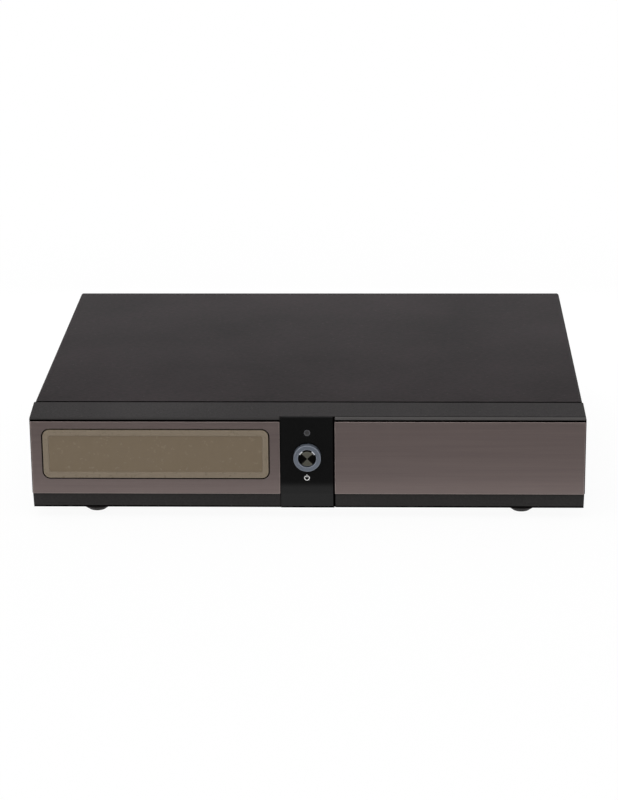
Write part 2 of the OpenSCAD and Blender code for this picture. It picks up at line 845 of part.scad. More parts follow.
function card_row(i) = board_top + card_up + card_h / 2 + i * card_pitch;
card_top = card_row(1) + card_h / 2;

module control_panel() color(dark_plastic) difference() {
    slab([centre_w / 2, half_w - wall_t - fit], [panel_y, panel_back],
         [foot_h + wall_t, band_z(panel_y) - roof_t - roof_gap]);
    along_y([panel_y - over, panel_back + over]) {
        for (c = key_cells)
            translate(key_place(c)) round_rect(key_w + 2 * fit, key_h + 2 * fit, key_r + fit);
        for (i = [0, 1]) {
            translate([card_x, card_row(i)]) square([card_w, card_h], center = true);
            translate([eject_x, card_row(i)]) square([eject_w + 2 * fit, eject_h + 2 * fit], center = true);
        }
        translate([usb_x, board_top + usb_size[2] / 2])
            square([usb_size[0] + 2 * fit, usb_size[2] + 2 * fit], center = true);
    }
}

// Two open card slots between side rails, with a header block at the back
module card_cage() color(grey_metal) difference() {
    union() {
        for (x = [[cage_x[0], cage_x[0] + cage_rail], [cage_x[1] - cage_rail, cage_x[1]]])
            slab(x, [panel_back, cage_back], [board_top, card_top + cage_plate]);
        for (i = [0, 1], z = [card_row(i) - card_h / 2 - cage_plate, card_row(i) + card_h / 2])
            slab(cage_x, [panel_back, cage_back], [z, z + cage_plate]);
        slab(cage_x, [panel_back + card_d, cage_back], [board_top, card_top + cage_plate]);
        slab([eject_x - eject_w / 2 - guide_wall, cage_x[0] + weld], [guide_y, guide_y + guide_t],
             [board_top, card_row(1) + eject_h / 2 + guide_wall]);
    }
    for (i = [0, 1])
        slab([eject_x - eject_w / 2 - fit, eject_x + eject_w / 2 + fit],
             [guide_y - over, guide_y + guide_t + over],
             [card_row(i) - eject_h / 2 - fit, card_row(i) + eject_h / 2 + fit]);
}

module eject_button(i) color(dark_plastic)
    translate([eject_x, 0, card_row(i)])
        along_y([eject_front, guide_y + guide_t + eject_tail]) square([eject_w, eject_h], center = true);

// A square metal socket with a contact tongue; its mouth faces the front
module usb_shell() {
    difference() {
        slab([-usb_size[0] / 2, usb_size[0] / 2], [0, usb_size[1]], [0, usb_size[2]]);
        slab([-usb_mouth[0] / 2, usb_mouth[0] / 2], [-over, usb_size[1] - usb_back],
             [(usb_size[2] - usb_mouth[1]) / 2, (usb_size[2] + usb_mouth[1]) / 2]);
    }
    slab([-usb_tongue[0] / 2, usb_tongue[0] / 2], [usb_tongue_in, usb_size[1] - usb_back + weld],
         [usb_size[2] / 2, usb_size[2] / 2 + usb_tongue[1]]);
}

module front_usb_socket() color(zinc) translate([usb_x, panel_y + usb_sink, board_top]) usb_shell();

// Front board

module front_board() color(board_green) difference() {
    slab(front_board_x, [front_board_y, front_board_y + board_t], front_board_z);
    for (b = boss_at) rod_y(boss_r / 2, b[0], b[1], [front_board_y - over, front_board_y + board_t + over]);
}

module display_tube() color(tube_grey)
    translate([window_x, 0, window_z])
        along_y([front_board_y - tube_t, front_board_y])
            round_rect(window_w - 2 * tube_margin[0], window_h - 2 * tube_margin[1], tube_r);

module tact_switches() color(dark_plastic)
    for (p = concat([[0, button_z]], [for (c = key_cells) key_place(c)]))
        difference() {
            slab([p[0] - switch_s / 2, p[0] + switch_s / 2], [switch_front, front_board_y],
                 [p[1] - switch_s / 2, p[1] + switch_s / 2]);
            rod_y(plunger_r + fit, p[0], p[1], [switch_front - over, plunger_end + 2 * key_travel]);
        }

// A flat cable that leaves the front board and lies down on the main board
function ribbon_edge(y, lift) = [[y, board_top + ribbon_up - lift],
    [y + ribbon_run[0] - lift, board_top + ribbon_up - lift],
    [y + ribbon_run[1] - lift, board_top + ribbon_t - lift], [y + ribbon_run[2],
    board_top + ribbon_t - lift]];

module front_ribbon() color(cable_grey) along_x(ribbon_x) {
    top = ribbon_edge(front_board_y + board_t, 0);
    under = ribbon_edge(front_board_y + board_t, ribbon_t);
    polygon([top[0], top[1], top[2], top[3], under[3], under[2], under[1], under[0]]);
}

// Steel case

module cover_section() {
    difference() {
        union() {
            translate([-cover_x, foot_h]) square([2 * cover_x, body_h - foot_h - bend_r]);
            translate([-cover_x + bend_r, foot_h]) square([2 * (cover_x - bend_r), body_h - foot_h]);
            for (s = [-1, 1]) translate([s * (cover_x - bend_r), body_h - bend_r]) circle(bend_r);
        }
        translate([-inner_x, foot_h - over]) square([2 * inner_x, cover_in_z - foot_h + over]);
    }
}

module top_cover() color(steel_black) difference() {
    union() {
        along_y([band_d + cover_gap, body_d]) cover_section();
        slab([-inner_x + flange_relief, inner_x - flange_relief], [rear_out, body_d],
             [body_h - cover_flange_h, body_h - sheet_t / 2]);
    }
    translate([0, (band_d + body_d) / 2, (floor_top + body_h) / 2])
        along_x([-half_w - over, half_w + over]) vent_row(side_vents, vent_w, vent_l, vent_pitch);
    for (y = side_screw_y) rod_x(screw_r + fit, y, side_screw_z, [-half_w - over, half_w + over]);
    for (x = rear_screw_x) rod_y(screw_r + fit, x, rear_screw_z, [rear_out - over, body_d + over]);
}

module chassis_tray() color(zinc) difference() {
    union() {
        slab([-tray_x, tray_x], [tray_y, rear_in], [foot_h, floor_top]);
        for (x = [[-tray_x, sheet_t - tray_x], [tray_x - sheet_t, tray_x]])
            slab(x, [tray_y, rear_in], [foot_h, floor_top + flange_h]);
        slab([-tray_x, tray_x], [tray_y, tray_y + sheet_t], [foot_h, floor_top + flange_h]);
        for (p = concat(main_pillars, power_pillars))
            translate([p[0], p[1], floor_top - weld]) cylinder(r = pillar_r, h = pillar_h + weld);
    }
    for (p = concat(main_pillars, power_pillars))
        translate([p[0], p[1], board_z - screw_l]) cylinder(r = screw_r + run_fit, h = screw_l + over);
    translate([(disk_x[0] + disk_x[1]) / 2, (disk_y[0] + disk_y[1]) / 2, foot_h - over])
        linear_extrude(sheet_t + 2 * over) vent_row(floor_vents, vent_w, 2 * vent_l, vent_pitch);
    for (y = side_screw_y) rod_x(screw_r + fit, y, side_screw_z, [-half_w - over, half_w + over]);
}

module rubber_feet() color(rubber)
    for (s = [-1, 1], y = [foot_front_y, body_d - foot_rear_y])
        translate([s * (half_w - foot_in_x), y, 0])
            rotate_extrude()
                polygon(concat([[0, 0]], arc([foot_tip_r - foot_round, foot_round],
                               foot_round, 270, 330, lip_steps),
                               [[foot_r, foot_h - foot_rim], [foot_r, foot_h], [0, foot_h]]));

module cover_screws() color(steel_black) {
    for (s = [-1, 1], y = side_screw_y)
        translate([s * cover_x, y, side_screw_z]) rotate([0, s * 90, 0]) screw(screw_l, low_head_h);
    for (x = rear_screw_x)
        translate([x, body_d, rear_screw_z]) rotate([-90, 0, 0]) screw(screw_l, low_head_h);
}

// Rear panel, with an opening for each connector

module fan_grille() {
    difference() {
        for (i = [1 : grille_rings])
            difference() {
                circle(i * grille_pitch + grille_w / 2);
                circle(i * grille_pitch - grille_w / 2);
            }
        for (a = [45, 135]) rotate(a) square([2 * fan_s, grille_w], center = true);
    }
}

// A rectangular opening round a socket that stands on a board
module socket_opening(x, w, h) {
    translate([x - w / 2 - fit, board_top - fit]) square([w + 2 * fit, h + 2 * fit]);
}

module rear_openings() {
    for (x = tuner_x, z = f_up) translate([x, board_top + z]) circle(f_base_r + fit);
    for (z = scart_rows)
        translate([scart_x, board_top + z])
            square([scart_face[0] + 2 * fit, scart_face[1] + 2 * fit], center = true);
    for (c = [-1 : 1], r = [0, 1])
        translate([phono_x + c * phono_pitch[0], board_top + phono_up + r * phono_pitch[1]])
            circle(phono_ring_r + fit);
    socket_opening(hdmi_x, hdmi_size[0], hdmi_size[2]);
    socket_opening(ethernet_x, ethernet_size[0], ethernet_size[2] + usb_size[2]);
    socket_opening(inlet_x, inlet_size[0], inlet_size[2]);
    translate([switch_x, switch_z])
        square([switch_size[0] + 2 * fit, switch_size[2] + 2 * fit], center = true);
    for (x = rear_screw_x) translate([x, rear_screw_z]) circle(screw_r + fit);
    translate([fan_x, fan_z]) {
        for (sx = [-1, 1], sz = [-1, 1]) translate([sx * fan_hole, sz * fan_hole]) circle(screw_r + fit);
        fan_grille();
    }
}

module rear_panel() color(zinc) difference() {
    slab([-tray_x, tray_x], [rear_in, rear_out], [foot_h, cover_in_z - fit]);
    along_y([rear_in - over, rear_out + over]) rear_openings();
}

// Boards and what stands on them

module board_holes(points) {
    for (p = points) translate([p[0], p[1], board_z - over])
        cylinder(r = screw_r + fit, h = board_t + 2 * over);
}

module main_board() color(board_green) difference() {
    union() {
        slab([main_step[0], main_right], [main_front, main_rear], [board_z, board_top]);
        slab([main_left, main_step[0] + over], [main_step[1], main_rear], [board_z, board_top]);
    }
    board_holes(main_pillars);
}

module power_board() color(laminate_tan) difference() {
    slab(power_x, power_y, [board_z, board_top]);
    board_holes(power_pillars);
}

module board_screws() color(zinc)
    for (p = concat(main_pillars, power_pillars))
        translate([p[0], p[1], board_top]) screw(screw_l);

module decoder_chip() color(dark_plastic)
    slab([chip_x - chip_s / 2, chip_x + chip_s / 2], [chip_y - chip_s / 2, chip_y + chip_s / 2],
         [board_top, board_top + chip_t]);

module heat_sink() color(grey_metal) translate([chip_x, chip_y, board_top + chip_t]) {
    slab([-sink_s / 2, sink_s / 2], [-sink_s / 2, sink_s / 2], [0, sink_base]);
    for (i = [0 : sink_fins - 1])
        translate([-sink_s / 2 + i * (sink_s - sink_fin_t) / (sink_fins - 1),
            -sink_s / 2, sink_base - weld])
            cube([sink_fin_t, sink_s, sink_h - sink_base + weld]);
}

module memory_chips() color(dark_plastic)
    for (i = [0, 1], j = [0, 1])
        translate([chip_x + sink_s / 2 + sink_gap + i * memory_pitch,
            chip_y - sink_s / 2 + j * memory_pitch, board_top])
            cube(memory_size);

// A screened can with two threaded connectors, each behind a hexagon nut
module tuner(x) color(grey_metal) {
    slab([x - tuner_w / 2, x + tuner_w / 2], [rear_in - tuner_d, rear_in],
         [board_top, board_top + tuner_h]);
    for (z = f_up) {
        rod_y(f_base_r, x, board_top + z, [rear_in - weld, rear_out]);
        rod_y(f_nut_r, x, board_top + z, [rear_out - weld, rear_out + f_nut_l], 6);
        rod_y(f_r, x, board_top + z, [rear_in - weld, rear_out + f_l]);
    }
}

// A socket face with one slanting corner
module scart_shape(inset) {
    w = scart_face[0] / 2 - inset;
    h = scart_face[1] / 2 - inset;
    polygon([[-w, -h], [w, -h], [w, h], [scart_cut[0] - w, h], [-w, h - scart_cut[1]]]);
}

// Two stacked sockets: each face is a raised block with a slot field inside a groove
module scart_sockets() color(dark_plastic) difference() {
    union() {
        slab([scart_x - scart_w / 2, scart_x + scart_w / 2], [rear_in - scart_d, rear_in],
             [board_top, board_top + scart_top]);
        for (z = scart_rows)
            translate([scart_x, 0, board_top + z]) along_y([rear_in - weld, rear_out + scart_proud])
                scart_shape(0);
    }
    for (z = scart_rows) translate([scart_x, 0, board_top + z])
        along_y([rear_out - scart_deep, rear_out + scart_proud + over]) {
            difference() {
                scart_shape(scart_groove[0]);
                scart_shape(scart_groove[1]);
            }
            for (i = [0 : pin_slots - 1], s = [-1, 1])
                translate([(i - (pin_slots - 1) / 2) * pin_slot_pitch, s * pin_slot_z])
                    square(pin_slot, center = true);
        }
}

module phono_sockets() color(dark_plastic) {
    slab([phono_x - phono_block[0] / 2, phono_x + phono_block[0] / 2], [rear_in - phono_block[1], rear_in],
         [board_top, board_top + phono_block[2]]);
    for (c = [-1 : 1], r = [0, 1])
        turned(phono_x + c * phono_pitch[0], board_top + phono_up + r * phono_pitch[1])
            polygon([[phono_bore_r, rear_in - weld], [phono_ring_r, rear_in - weld],
                     [phono_ring_r, rear_in + phono_ring_l],
                     [phono_r, rear_in + phono_ring_l], [phono_r, rear_in + phono_ring_l + phono_l],
                     [phono_bore_r, rear_in + phono_ring_l + phono_l]]);
}

// The sockets below are drawn with their mouths to the front and turned to the back
module to_rear(x, z) {
    translate([x, rear_out + socket_proud, z]) mirror([0, 1, 0]) children();
}

// A mouth whose lower corners slant, with a contact tongue
module hdmi_socket() color(zinc) to_rear(hdmi_x, board_top) {
    w = hdmi_mouth[0] / 2;
    h = hdmi_mouth[1] / 2;
    difference() {
        slab([-hdmi_size[0] / 2, hdmi_size[0] / 2], [0, hdmi_size[1]], [0, hdmi_size[2]]);
        translate([0, 0, hdmi_size[2] / 2]) along_y([-over, hdmi_size[1] - hdmi_back])
            polygon([[-w, h], [w, h], [w, hdmi_corner - h], [w - hdmi_corner, -h], [hdmi_corner - w, -h],
                     [-w, hdmi_corner - h]]);
    }
    slab([-hdmi_tongue[0] / 2, hdmi_tongue[0] / 2], [hdmi_tongue_in, hdmi_size[1] - hdmi_back + weld],
         [(hdmi_size[2] - hdmi_tongue[1]) / 2, (hdmi_size[2] + hdmi_tongue[1]) / 2]);
}

// A deep mouth with a notch below it for the plug's latch
module ethernet_socket() color(zinc) to_rear(ethernet_x, board_top) difference() {
    slab([-ethernet_size[0] / 2, ethernet_size[0] / 2], [0, ethernet_size[1]], [0, ethernet_size[2]]);
    slab([-ethernet_mouth[0] / 2, ethernet_mouth[0] / 2], [-over, ethernet_depth],
         [ethernet_mouth_up, ethernet_mouth_up + ethernet_mouth[1]]);
    slab([-ethernet_notch[0] / 2, ethernet_notch[0] / 2], [-over, ethernet_depth],
         [ethernet_mouth_up - ethernet_notch[1], ethernet_mouth_up + weld]);
}

module rear_usb_socket() color(zinc) to_rear(ethernet_x, board_top + ethernet_size[2]) usb_shell();

// Power supply

// Two core halves with a round winding between them
module transformer() color(ferrite_brown)
    translate([power_x[0] + core_at[0], power_y[0] + core_at[1], board_top]) {
    for (y = [-core_s[1] / 2, core_s[1] / 2 - core_leg])
        slab([-core_s[0] / 2, core_s[0] / 2], [y, y + core_leg], [0, core_s[2]]);
    rod_y(core_s[2] / 2 - winding_in, 0, core_s[2] / 2,
          [core_leg - core_s[1] / 2 - weld, core_s[1] / 2 - core_leg + weld]);
}

module power_capacitors() color(sleeve_blue)
    for (i = [0 : len(capacitor_at) - 1])
        translate([power_x[0] + capacitor_at[i][0], power_y[0] + capacitor_at[i][1], board_top])
            cylinder(r = capacitor_r[i], h = capacitor_h[i]);

module power_heat_sink() color(grey_metal)
    translate([power_x[0] + power_sink_at[0], power_y[0] + power_sink_at[1], board_top]) {
        cube(power_sink_size);
        for (i = [0 : power_sink_fins - 1])
            translate([i * (power_sink_size[0] - power_fin[0]) / (power_sink_fins - 1), -power_fin[1],
                power_fin_up])
                cube([power_fin[0], power_fin[1] + weld, power_sink_size[2] - power_fin_up]);
    }

// A two-pin inlet: a cup with a waist that holds two round pins
module mains_inlet() color(dark_plastic)
    translate([inlet_x, rear_out + inlet_proud, board_top + inlet_size[2] / 2]) {
    difference() {
        along_y([-inlet_size[1], 0]) square([inlet_size[0], inlet_size[2]], center = true);
        along_y([-inlet_cup_d, over]) {
            for (s = [-1, 1]) translate([s * inlet_pin_x, 0]) circle(inlet_cup_r);
            square([2 * inlet_pin_x, 2 * (inlet_cup_r - inlet_waist)], center = true);
        }
    }
    for (s = [-1, 1]) rod_y(inlet_pin_r, s * inlet_pin_x, 0, [-inlet_cup_d - weld, -inlet_pin_in]);
}

module mains_switch_housing() color(dark_plastic) translate([switch_x, 0, switch_z]) difference() {
    union() {
        along_y([rear_out - switch_size[1], rear_out + weld])
            square([switch_size[0], switch_size[2]], center = true);
        along_y([rear_out, rear_out + switch_rim_t])
            square([switch_size[0] + 2 * switch_rim, switch_size[2] + 2 * switch_rim], center = true);
    }
    along_y([rear_out - switch_well, rear_out + switch_rim_t + over])
        square([rocker_size[0] + 2 * fit, rocker_size[1] + 2 * rocker_side], center = true);
    rod_x(rocker_pin_r + run_fit, rocker_y, 0,
          [-rocker_size[0] / 2 - rocker_pin_l - fit, rocker_size[0] / 2 + rocker_pin_l + fit]);
}

// The rocker's outline, from its foot to its two raised ends
rocker_foot = [-3, 2.2];
rocker_end = [[2, 0.4], [4.6, 0.6]];
rocker_dip = 3.2;

// The rocker rests with its upper end pressed in
module mains_rocker() color(rocker_red) translate([switch_x, rocker_y, switch_z])
    rotate([rocker_rest, 0, 0]) {
    h = rocker_size[1] / 2;
    along_x([-rocker_size[0] / 2, rocker_size[0] / 2])
        polygon([[rocker_foot[0], -rocker_foot[1]], [rocker_end[0][0], rocker_end[0][1] - h],
                 [rocker_end[1][0], rocker_end[1][1] - h], [rocker_dip, 0], [rocker_end[1][0],
                 h - rocker_end[1][1]],
                 [rocker_end[0][0], h - rocker_end[0][1]], rocker_foot]);
    rod_x(rocker_pin_r, 0, 0, [-rocker_size[0] / 2 - rocker_pin_l, rocker_size[0] / 2 + rocker_pin_l]);
}

// Hard disk on its bracket

module hard_disk() color(grey_metal) {
    slab(disk_x, disk_y, [disk_z, disk_z + disk_h - disk_lid[1]]);
    translate([(disk_x[0] + disk_x[1]) / 2, (disk_y[0] + disk_y[1]) / 2,
        disk_z + disk_h - disk_lid[1] - weld])
        linear_extrude(disk_lid[1] + weld)
            round_rect(disk_l - 2 * disk_lid[0], disk_w - 2 * disk_lid[0], disk_lid_r);
}

module disk_bracket() color(zinc) difference() {
    union() {
        for (y = [[disk_y[0] - bracket_t, disk_y[0]], [disk_y[1], disk_y[1] + bracket_t]])
            slab(bracket_x, y, [floor_top, disk_z + bracket_flange_h]);
        slab(bracket_x, [disk_y[0] - bracket_t, disk_y[1] + bracket_t], [disk_z - bracket_t, disk_z]);
        for (y = [[disk_y[0] - bracket_foot, disk_y[0]], [disk_y[1], disk_y[1] + bracket_foot]])
            slab(bracket_x, y, [floor_top, floor_top + bracket_t]);
    }
    for (x = bracket_screw_x)
        rod_y(screw_r + fit, x, bracket_screw_z, [disk_y[0] - bracket_t - over,
              disk_y[1] + bracket_t + over]);
    translate([(disk_x[0] + disk_x[1]) / 2, (disk_y[0] + disk_y[1]) / 2, disk_z - bracket_t - over])
        linear_extrude(bracket_t + 2 * over)
            round_rect(disk_l - 2 * bracket_frame[0], disk_w - 2 * bracket_frame[1], bracket_hole_r);
}

module disk_screws() color(zinc)
    for (x = bracket_screw_x) {
        translate([x, disk_y[0] - bracket_t, bracket_screw_z]) rotate([90, 0, 0]) screw(bracket_t);
        translate([x, disk_y[1] + bracket_t, bracket_screw_z]) rotate([-90, 0, 0]) screw(bracket_t);
    }

// Fan

module fan_frame() color(dark_plastic) translate([fan_x, 0, fan_z]) difference() {
    union() {
        difference() {
            along_y([fan_front, rear_in]) round_rect(fan_s, fan_s, fan_corner_r);
            rod_y(fan_bore_r, 0, 0, [fan_front - over, rear_in + over]);
        }
        rod_y(fan_hub_r, 0, 0, [rear_in - fan_base_t, rear_in]);
        for (a = [0, 120, 240])
            along_y([rear_in - fan_spoke[1], rear_in])
                rotate(a) translate([0, -fan_spoke[0] / 2]) square([fan_bore_r + weld, fan_spoke[0]]);
        rod_y(fan_post_r, 0, 0, [fan_front + fan_post_in, rear_in - fan_base_t + weld]);
    }
    rod_y(fan_shaft_r + run_fit, 0, 0, [fan_front - over, rear_in - fan_base_t / 2]);
    for (sx = [-1, 1], sz = [-1, 1])
        rod_y(screw_r + fit, sx * fan_hole, sz * fan_hole, [fan_front - over, rear_in + over]);
}

// A cup-shaped hub on a shaft, with blades set at a pitch
module fan_rotor() color(dark_plastic) translate([fan_x, 0, fan_z]) {
    difference() {
        rod_y(fan_hub_r, 0, 0, [fan_front + fan_face, rear_in - fan_base_t - fan_end_gap]);
        rod_y(fan_hub_r - fan_hub_t, 0, 0, [fan_front + fan_face + fan_hub_t, rear_in]);
    }
    rod_y(fan_shaft_r, 0, 0, [fan_front + fan_face + fan_hub_t - weld, rear_in - shaft_end]);
    for (i = [0 : fan_blades - 1])
        rotate([0, i * 360 / fan_blades, 0]) intersection() {
            difference() {
                rod_y(fan_tip_r, 0, 0, [fan_front + fan_face + weld,
                      rear_in - fan_base_t - 2 * fan_end_gap]);
                rod_y(fan_hub_r - weld, 0, 0, [fan_front, rear_in]);
            }
            translate([fan_hub_r - fan_hub_t, fan_front + fan_d / 2 - fan_face, 0])
                rotate([blade_pitch, 0, 0])
                translate([0, -fan_d, -blade_t / 2]) cube([fan_tip_r, 2 * fan_d, blade_t]);
        }
}

module fan_screws() color(zinc)
    for (sx = [-1, 1], sz = [-1, 1])
        translate([fan_x + sx * fan_hole, rear_out, fan_z + sz * fan_hole]) rotate([-90, 0, 0])
            screw(fan_screw_l);

place() top_cover();
place() chassis_tray();
place() rear_panel();
place() front_bezel();
place() centre_panel();
place() display_plate();
place() display_window();
place() door_shell();
place() door_plate();
place() door_hinge_pins();
place() door_magnet();
place() door_strike();
place() power_button();
place() power_button_ring();
place() remote_eye();
place() control_panel();
place() key("menu_key");  // menu_key
place() key("exit_key");  // exit_key
place() key("ok_key");  // ok_key
place() key("channel_up_key");  // channel_up_key
place() key("channel_down_key");  // channel_down_key
place() key("volume_up_key");  // volume_up_key
place() key("volume_down_key");  // volume_down_key
place() card_cage();
place() eject_button(1);  // upper_eject_button
place() eject_button(0);  // lower_eject_button
place() front_usb_socket();
place() rubber_feet();
place() cover_screws();
place() front_board();
place() display_tube();
place() tact_switches();
place() main_board();
place() board_screws();
place() heat_sink();
place() decoder_chip();
place() memory_chips();
place() tuner(tuner_x[0]);  // tuner_left
place() tuner(tuner_x[1]);  // tuner_right
place() power_board();
place() transformer();
place() power_capacitors();
place() power_heat_sink();
place() hard_disk();
place() disk_bracket();
place() disk_screws();
place() fan_frame();
place() fan_rotor();
place() fan_screws();
place() mains_inlet();
place() mains_switch_housing();
place() mains_rocker();
place() scart_sockets();
place() phono_sockets();
place() hdmi_socket();
place() ethernet_socket();
place() rear_usb_socket();
place() front_ribbon();
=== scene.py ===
"""Dresses the flat television receiver for its studio picture.

Every rigid piece gets softened edges and a finish of its own. The pieces that catch the eye, such as the
power button, its ring and the display window, are modelled here over the solids of the frame.
"""

import json
import logging
import math
from contextlib import contextmanager
from dataclasses import dataclass
from enum import Enum
from functools import cache
from typing import Callable, ClassVar, Iterator, Sequence

import bmesh
import bpy
from mathutils import Matrix, Vector

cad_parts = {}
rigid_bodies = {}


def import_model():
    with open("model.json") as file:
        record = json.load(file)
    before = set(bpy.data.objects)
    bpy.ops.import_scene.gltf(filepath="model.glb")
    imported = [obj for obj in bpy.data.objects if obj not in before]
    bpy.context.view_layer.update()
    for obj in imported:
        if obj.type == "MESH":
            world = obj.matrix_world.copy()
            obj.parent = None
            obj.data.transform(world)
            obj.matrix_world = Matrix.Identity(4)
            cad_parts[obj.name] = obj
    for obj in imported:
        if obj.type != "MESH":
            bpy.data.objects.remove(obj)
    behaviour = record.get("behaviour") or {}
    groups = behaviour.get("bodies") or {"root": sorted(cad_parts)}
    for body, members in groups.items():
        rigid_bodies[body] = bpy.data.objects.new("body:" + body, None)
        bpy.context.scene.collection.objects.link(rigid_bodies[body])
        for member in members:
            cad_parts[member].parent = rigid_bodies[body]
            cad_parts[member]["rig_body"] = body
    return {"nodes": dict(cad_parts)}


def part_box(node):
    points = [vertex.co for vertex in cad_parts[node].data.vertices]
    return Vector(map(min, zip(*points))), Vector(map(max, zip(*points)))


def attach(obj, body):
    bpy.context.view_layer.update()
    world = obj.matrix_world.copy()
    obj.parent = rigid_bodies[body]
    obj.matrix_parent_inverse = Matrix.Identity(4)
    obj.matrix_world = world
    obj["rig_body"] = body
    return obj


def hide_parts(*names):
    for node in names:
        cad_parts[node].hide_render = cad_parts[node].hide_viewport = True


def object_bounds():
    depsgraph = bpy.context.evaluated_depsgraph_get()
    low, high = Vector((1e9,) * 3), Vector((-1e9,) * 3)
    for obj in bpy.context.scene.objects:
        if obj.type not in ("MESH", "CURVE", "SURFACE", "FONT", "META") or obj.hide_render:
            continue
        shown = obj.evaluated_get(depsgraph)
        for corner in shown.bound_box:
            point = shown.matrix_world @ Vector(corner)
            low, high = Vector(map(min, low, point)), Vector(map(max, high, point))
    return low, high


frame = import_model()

LOG = logging.getLogger("receiver")
MM = 0.001
ALONG = 0.9
CAD_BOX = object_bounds()

Colour = tuple[float, float, float]
Pair = tuple[float, float]
Point = Sequence[float]
Test = Callable[[Vector, Vector], bool]
Socket = bpy.types.NodeSocket


@cache
def box(node: str) -> tuple[Vector, Vector]:
    """Give the lowest and highest corner of a solid, measured once."""
    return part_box(node)


def centre(node: str) -> Vector:
    """Give the middle of a solid's box."""
    low, high = box(node)
    return (low + high) / 2


def spindle(node: str) -> Vector:
    """Give a point on the axis of a round solid that faces the front."""
    middle = centre(node)
    return Vector((middle.x, 0, middle.z))


def body_of(node: str) -> str:
    """Give the body that carries a solid."""
    return frame["nodes"][node]["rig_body"]


def quarter(steps: int = 6) -> list[float]:
    """Give the angles of a quarter turn in equal steps."""
    return [math.radians(90 * step / steps) for step in range(steps + 1)]


def shade(colour: Colour, factor: float) -> Colour:
    """Make a colour lighter or darker by a factor."""
    return (colour[0] * factor, colour[1] * factor, colour[2] * factor)


def either(*tests: Test) -> Test:
    """Make a test that passes where any of several does."""
    return lambda middle, normal: any(test(middle, normal) for test in tests)


class Axis(Enum):
    """A direction of the frame."""

    X = (1.0, 0.0, 0.0)
    Y = (0.0, 1.0, 0.0)
    Z = (0.0, 0.0, 1.0)


class Pick(Enum):
    """What a selection in edit mode is made of."""

    VERTEX = "VERT"
    EDGE = "EDGE"
    FACE = "FACE"


class Nodes:
    """A node tree under construction, with short calls for the nodes that several trees share."""

    def __init__(self, tree: bpy.types.NodeTree) -> None:
        """Take a tree onto the bench."""
        self.tree = tree

    def node(self, kind: str) -> bpy.types.Node:
        """Add a node of one kind."""
        return self.tree.nodes.new(kind)

    def feed(self, target: Socket, source: Socket | float | Sequence[float]) -> None:
        """Join a socket to the one that feeds it, or set a constant on it.

        Args:
            target: the socket to feed.
            source: another socket, or the constant.
        """
        if isinstance(source, bpy.types.NodeSocket):
            self.tree.links.new(source, target)
        else:
            target.default_value = source

    def span(self, value: Socket, low: float, high: float, start: float = 0.3, end: float = 0.7,
             smooth: bool = False) -> Socket:
        """Map a value from one range to another, and hold it at the ends.

        Args:
            value: the value to map.
            low: result at the start.
            high: result at the end.
            start: value that gives low.
            end: value that gives high.
            smooth: whether it sets off and arrives gently.

        Returns:
            The mapped value.
        """
        node = self.node("ShaderNodeMapRange")
        if smooth:
            node.interpolation_type = "SMOOTHSTEP"
        for name, source in (("Value", value), ("From Min", start), ("From Max", end), ("To Min", low),
                             ("To Max", high)):
            self.feed(node.inputs[name], source)
        return node.outputs["Result"]

    def sum(self, kind: str, first: Socket, second: Socket | float) -> Socket:
        """Work out one step of arithmetic.

        Args:
            kind: the step's name, such as MULTIPLY.
            first: left value.
            second: right value.

        Returns:
            The result.
        """
        node = self.node("ShaderNodeMath")
        node.operation = kind
        self.feed(node.inputs[0], first)
        self.feed(node.inputs[1], second)
        return node.outputs[0]

    def parts(self, place: Socket) -> tuple[Socket, Socket, Socket]:
        """Split coordinates into their three numbers."""
        node = self.node("ShaderNodeSeparateXYZ")
        self.feed(node.inputs[0], place)
        return node.outputs[0], node.outputs[1], node.outputs[2]


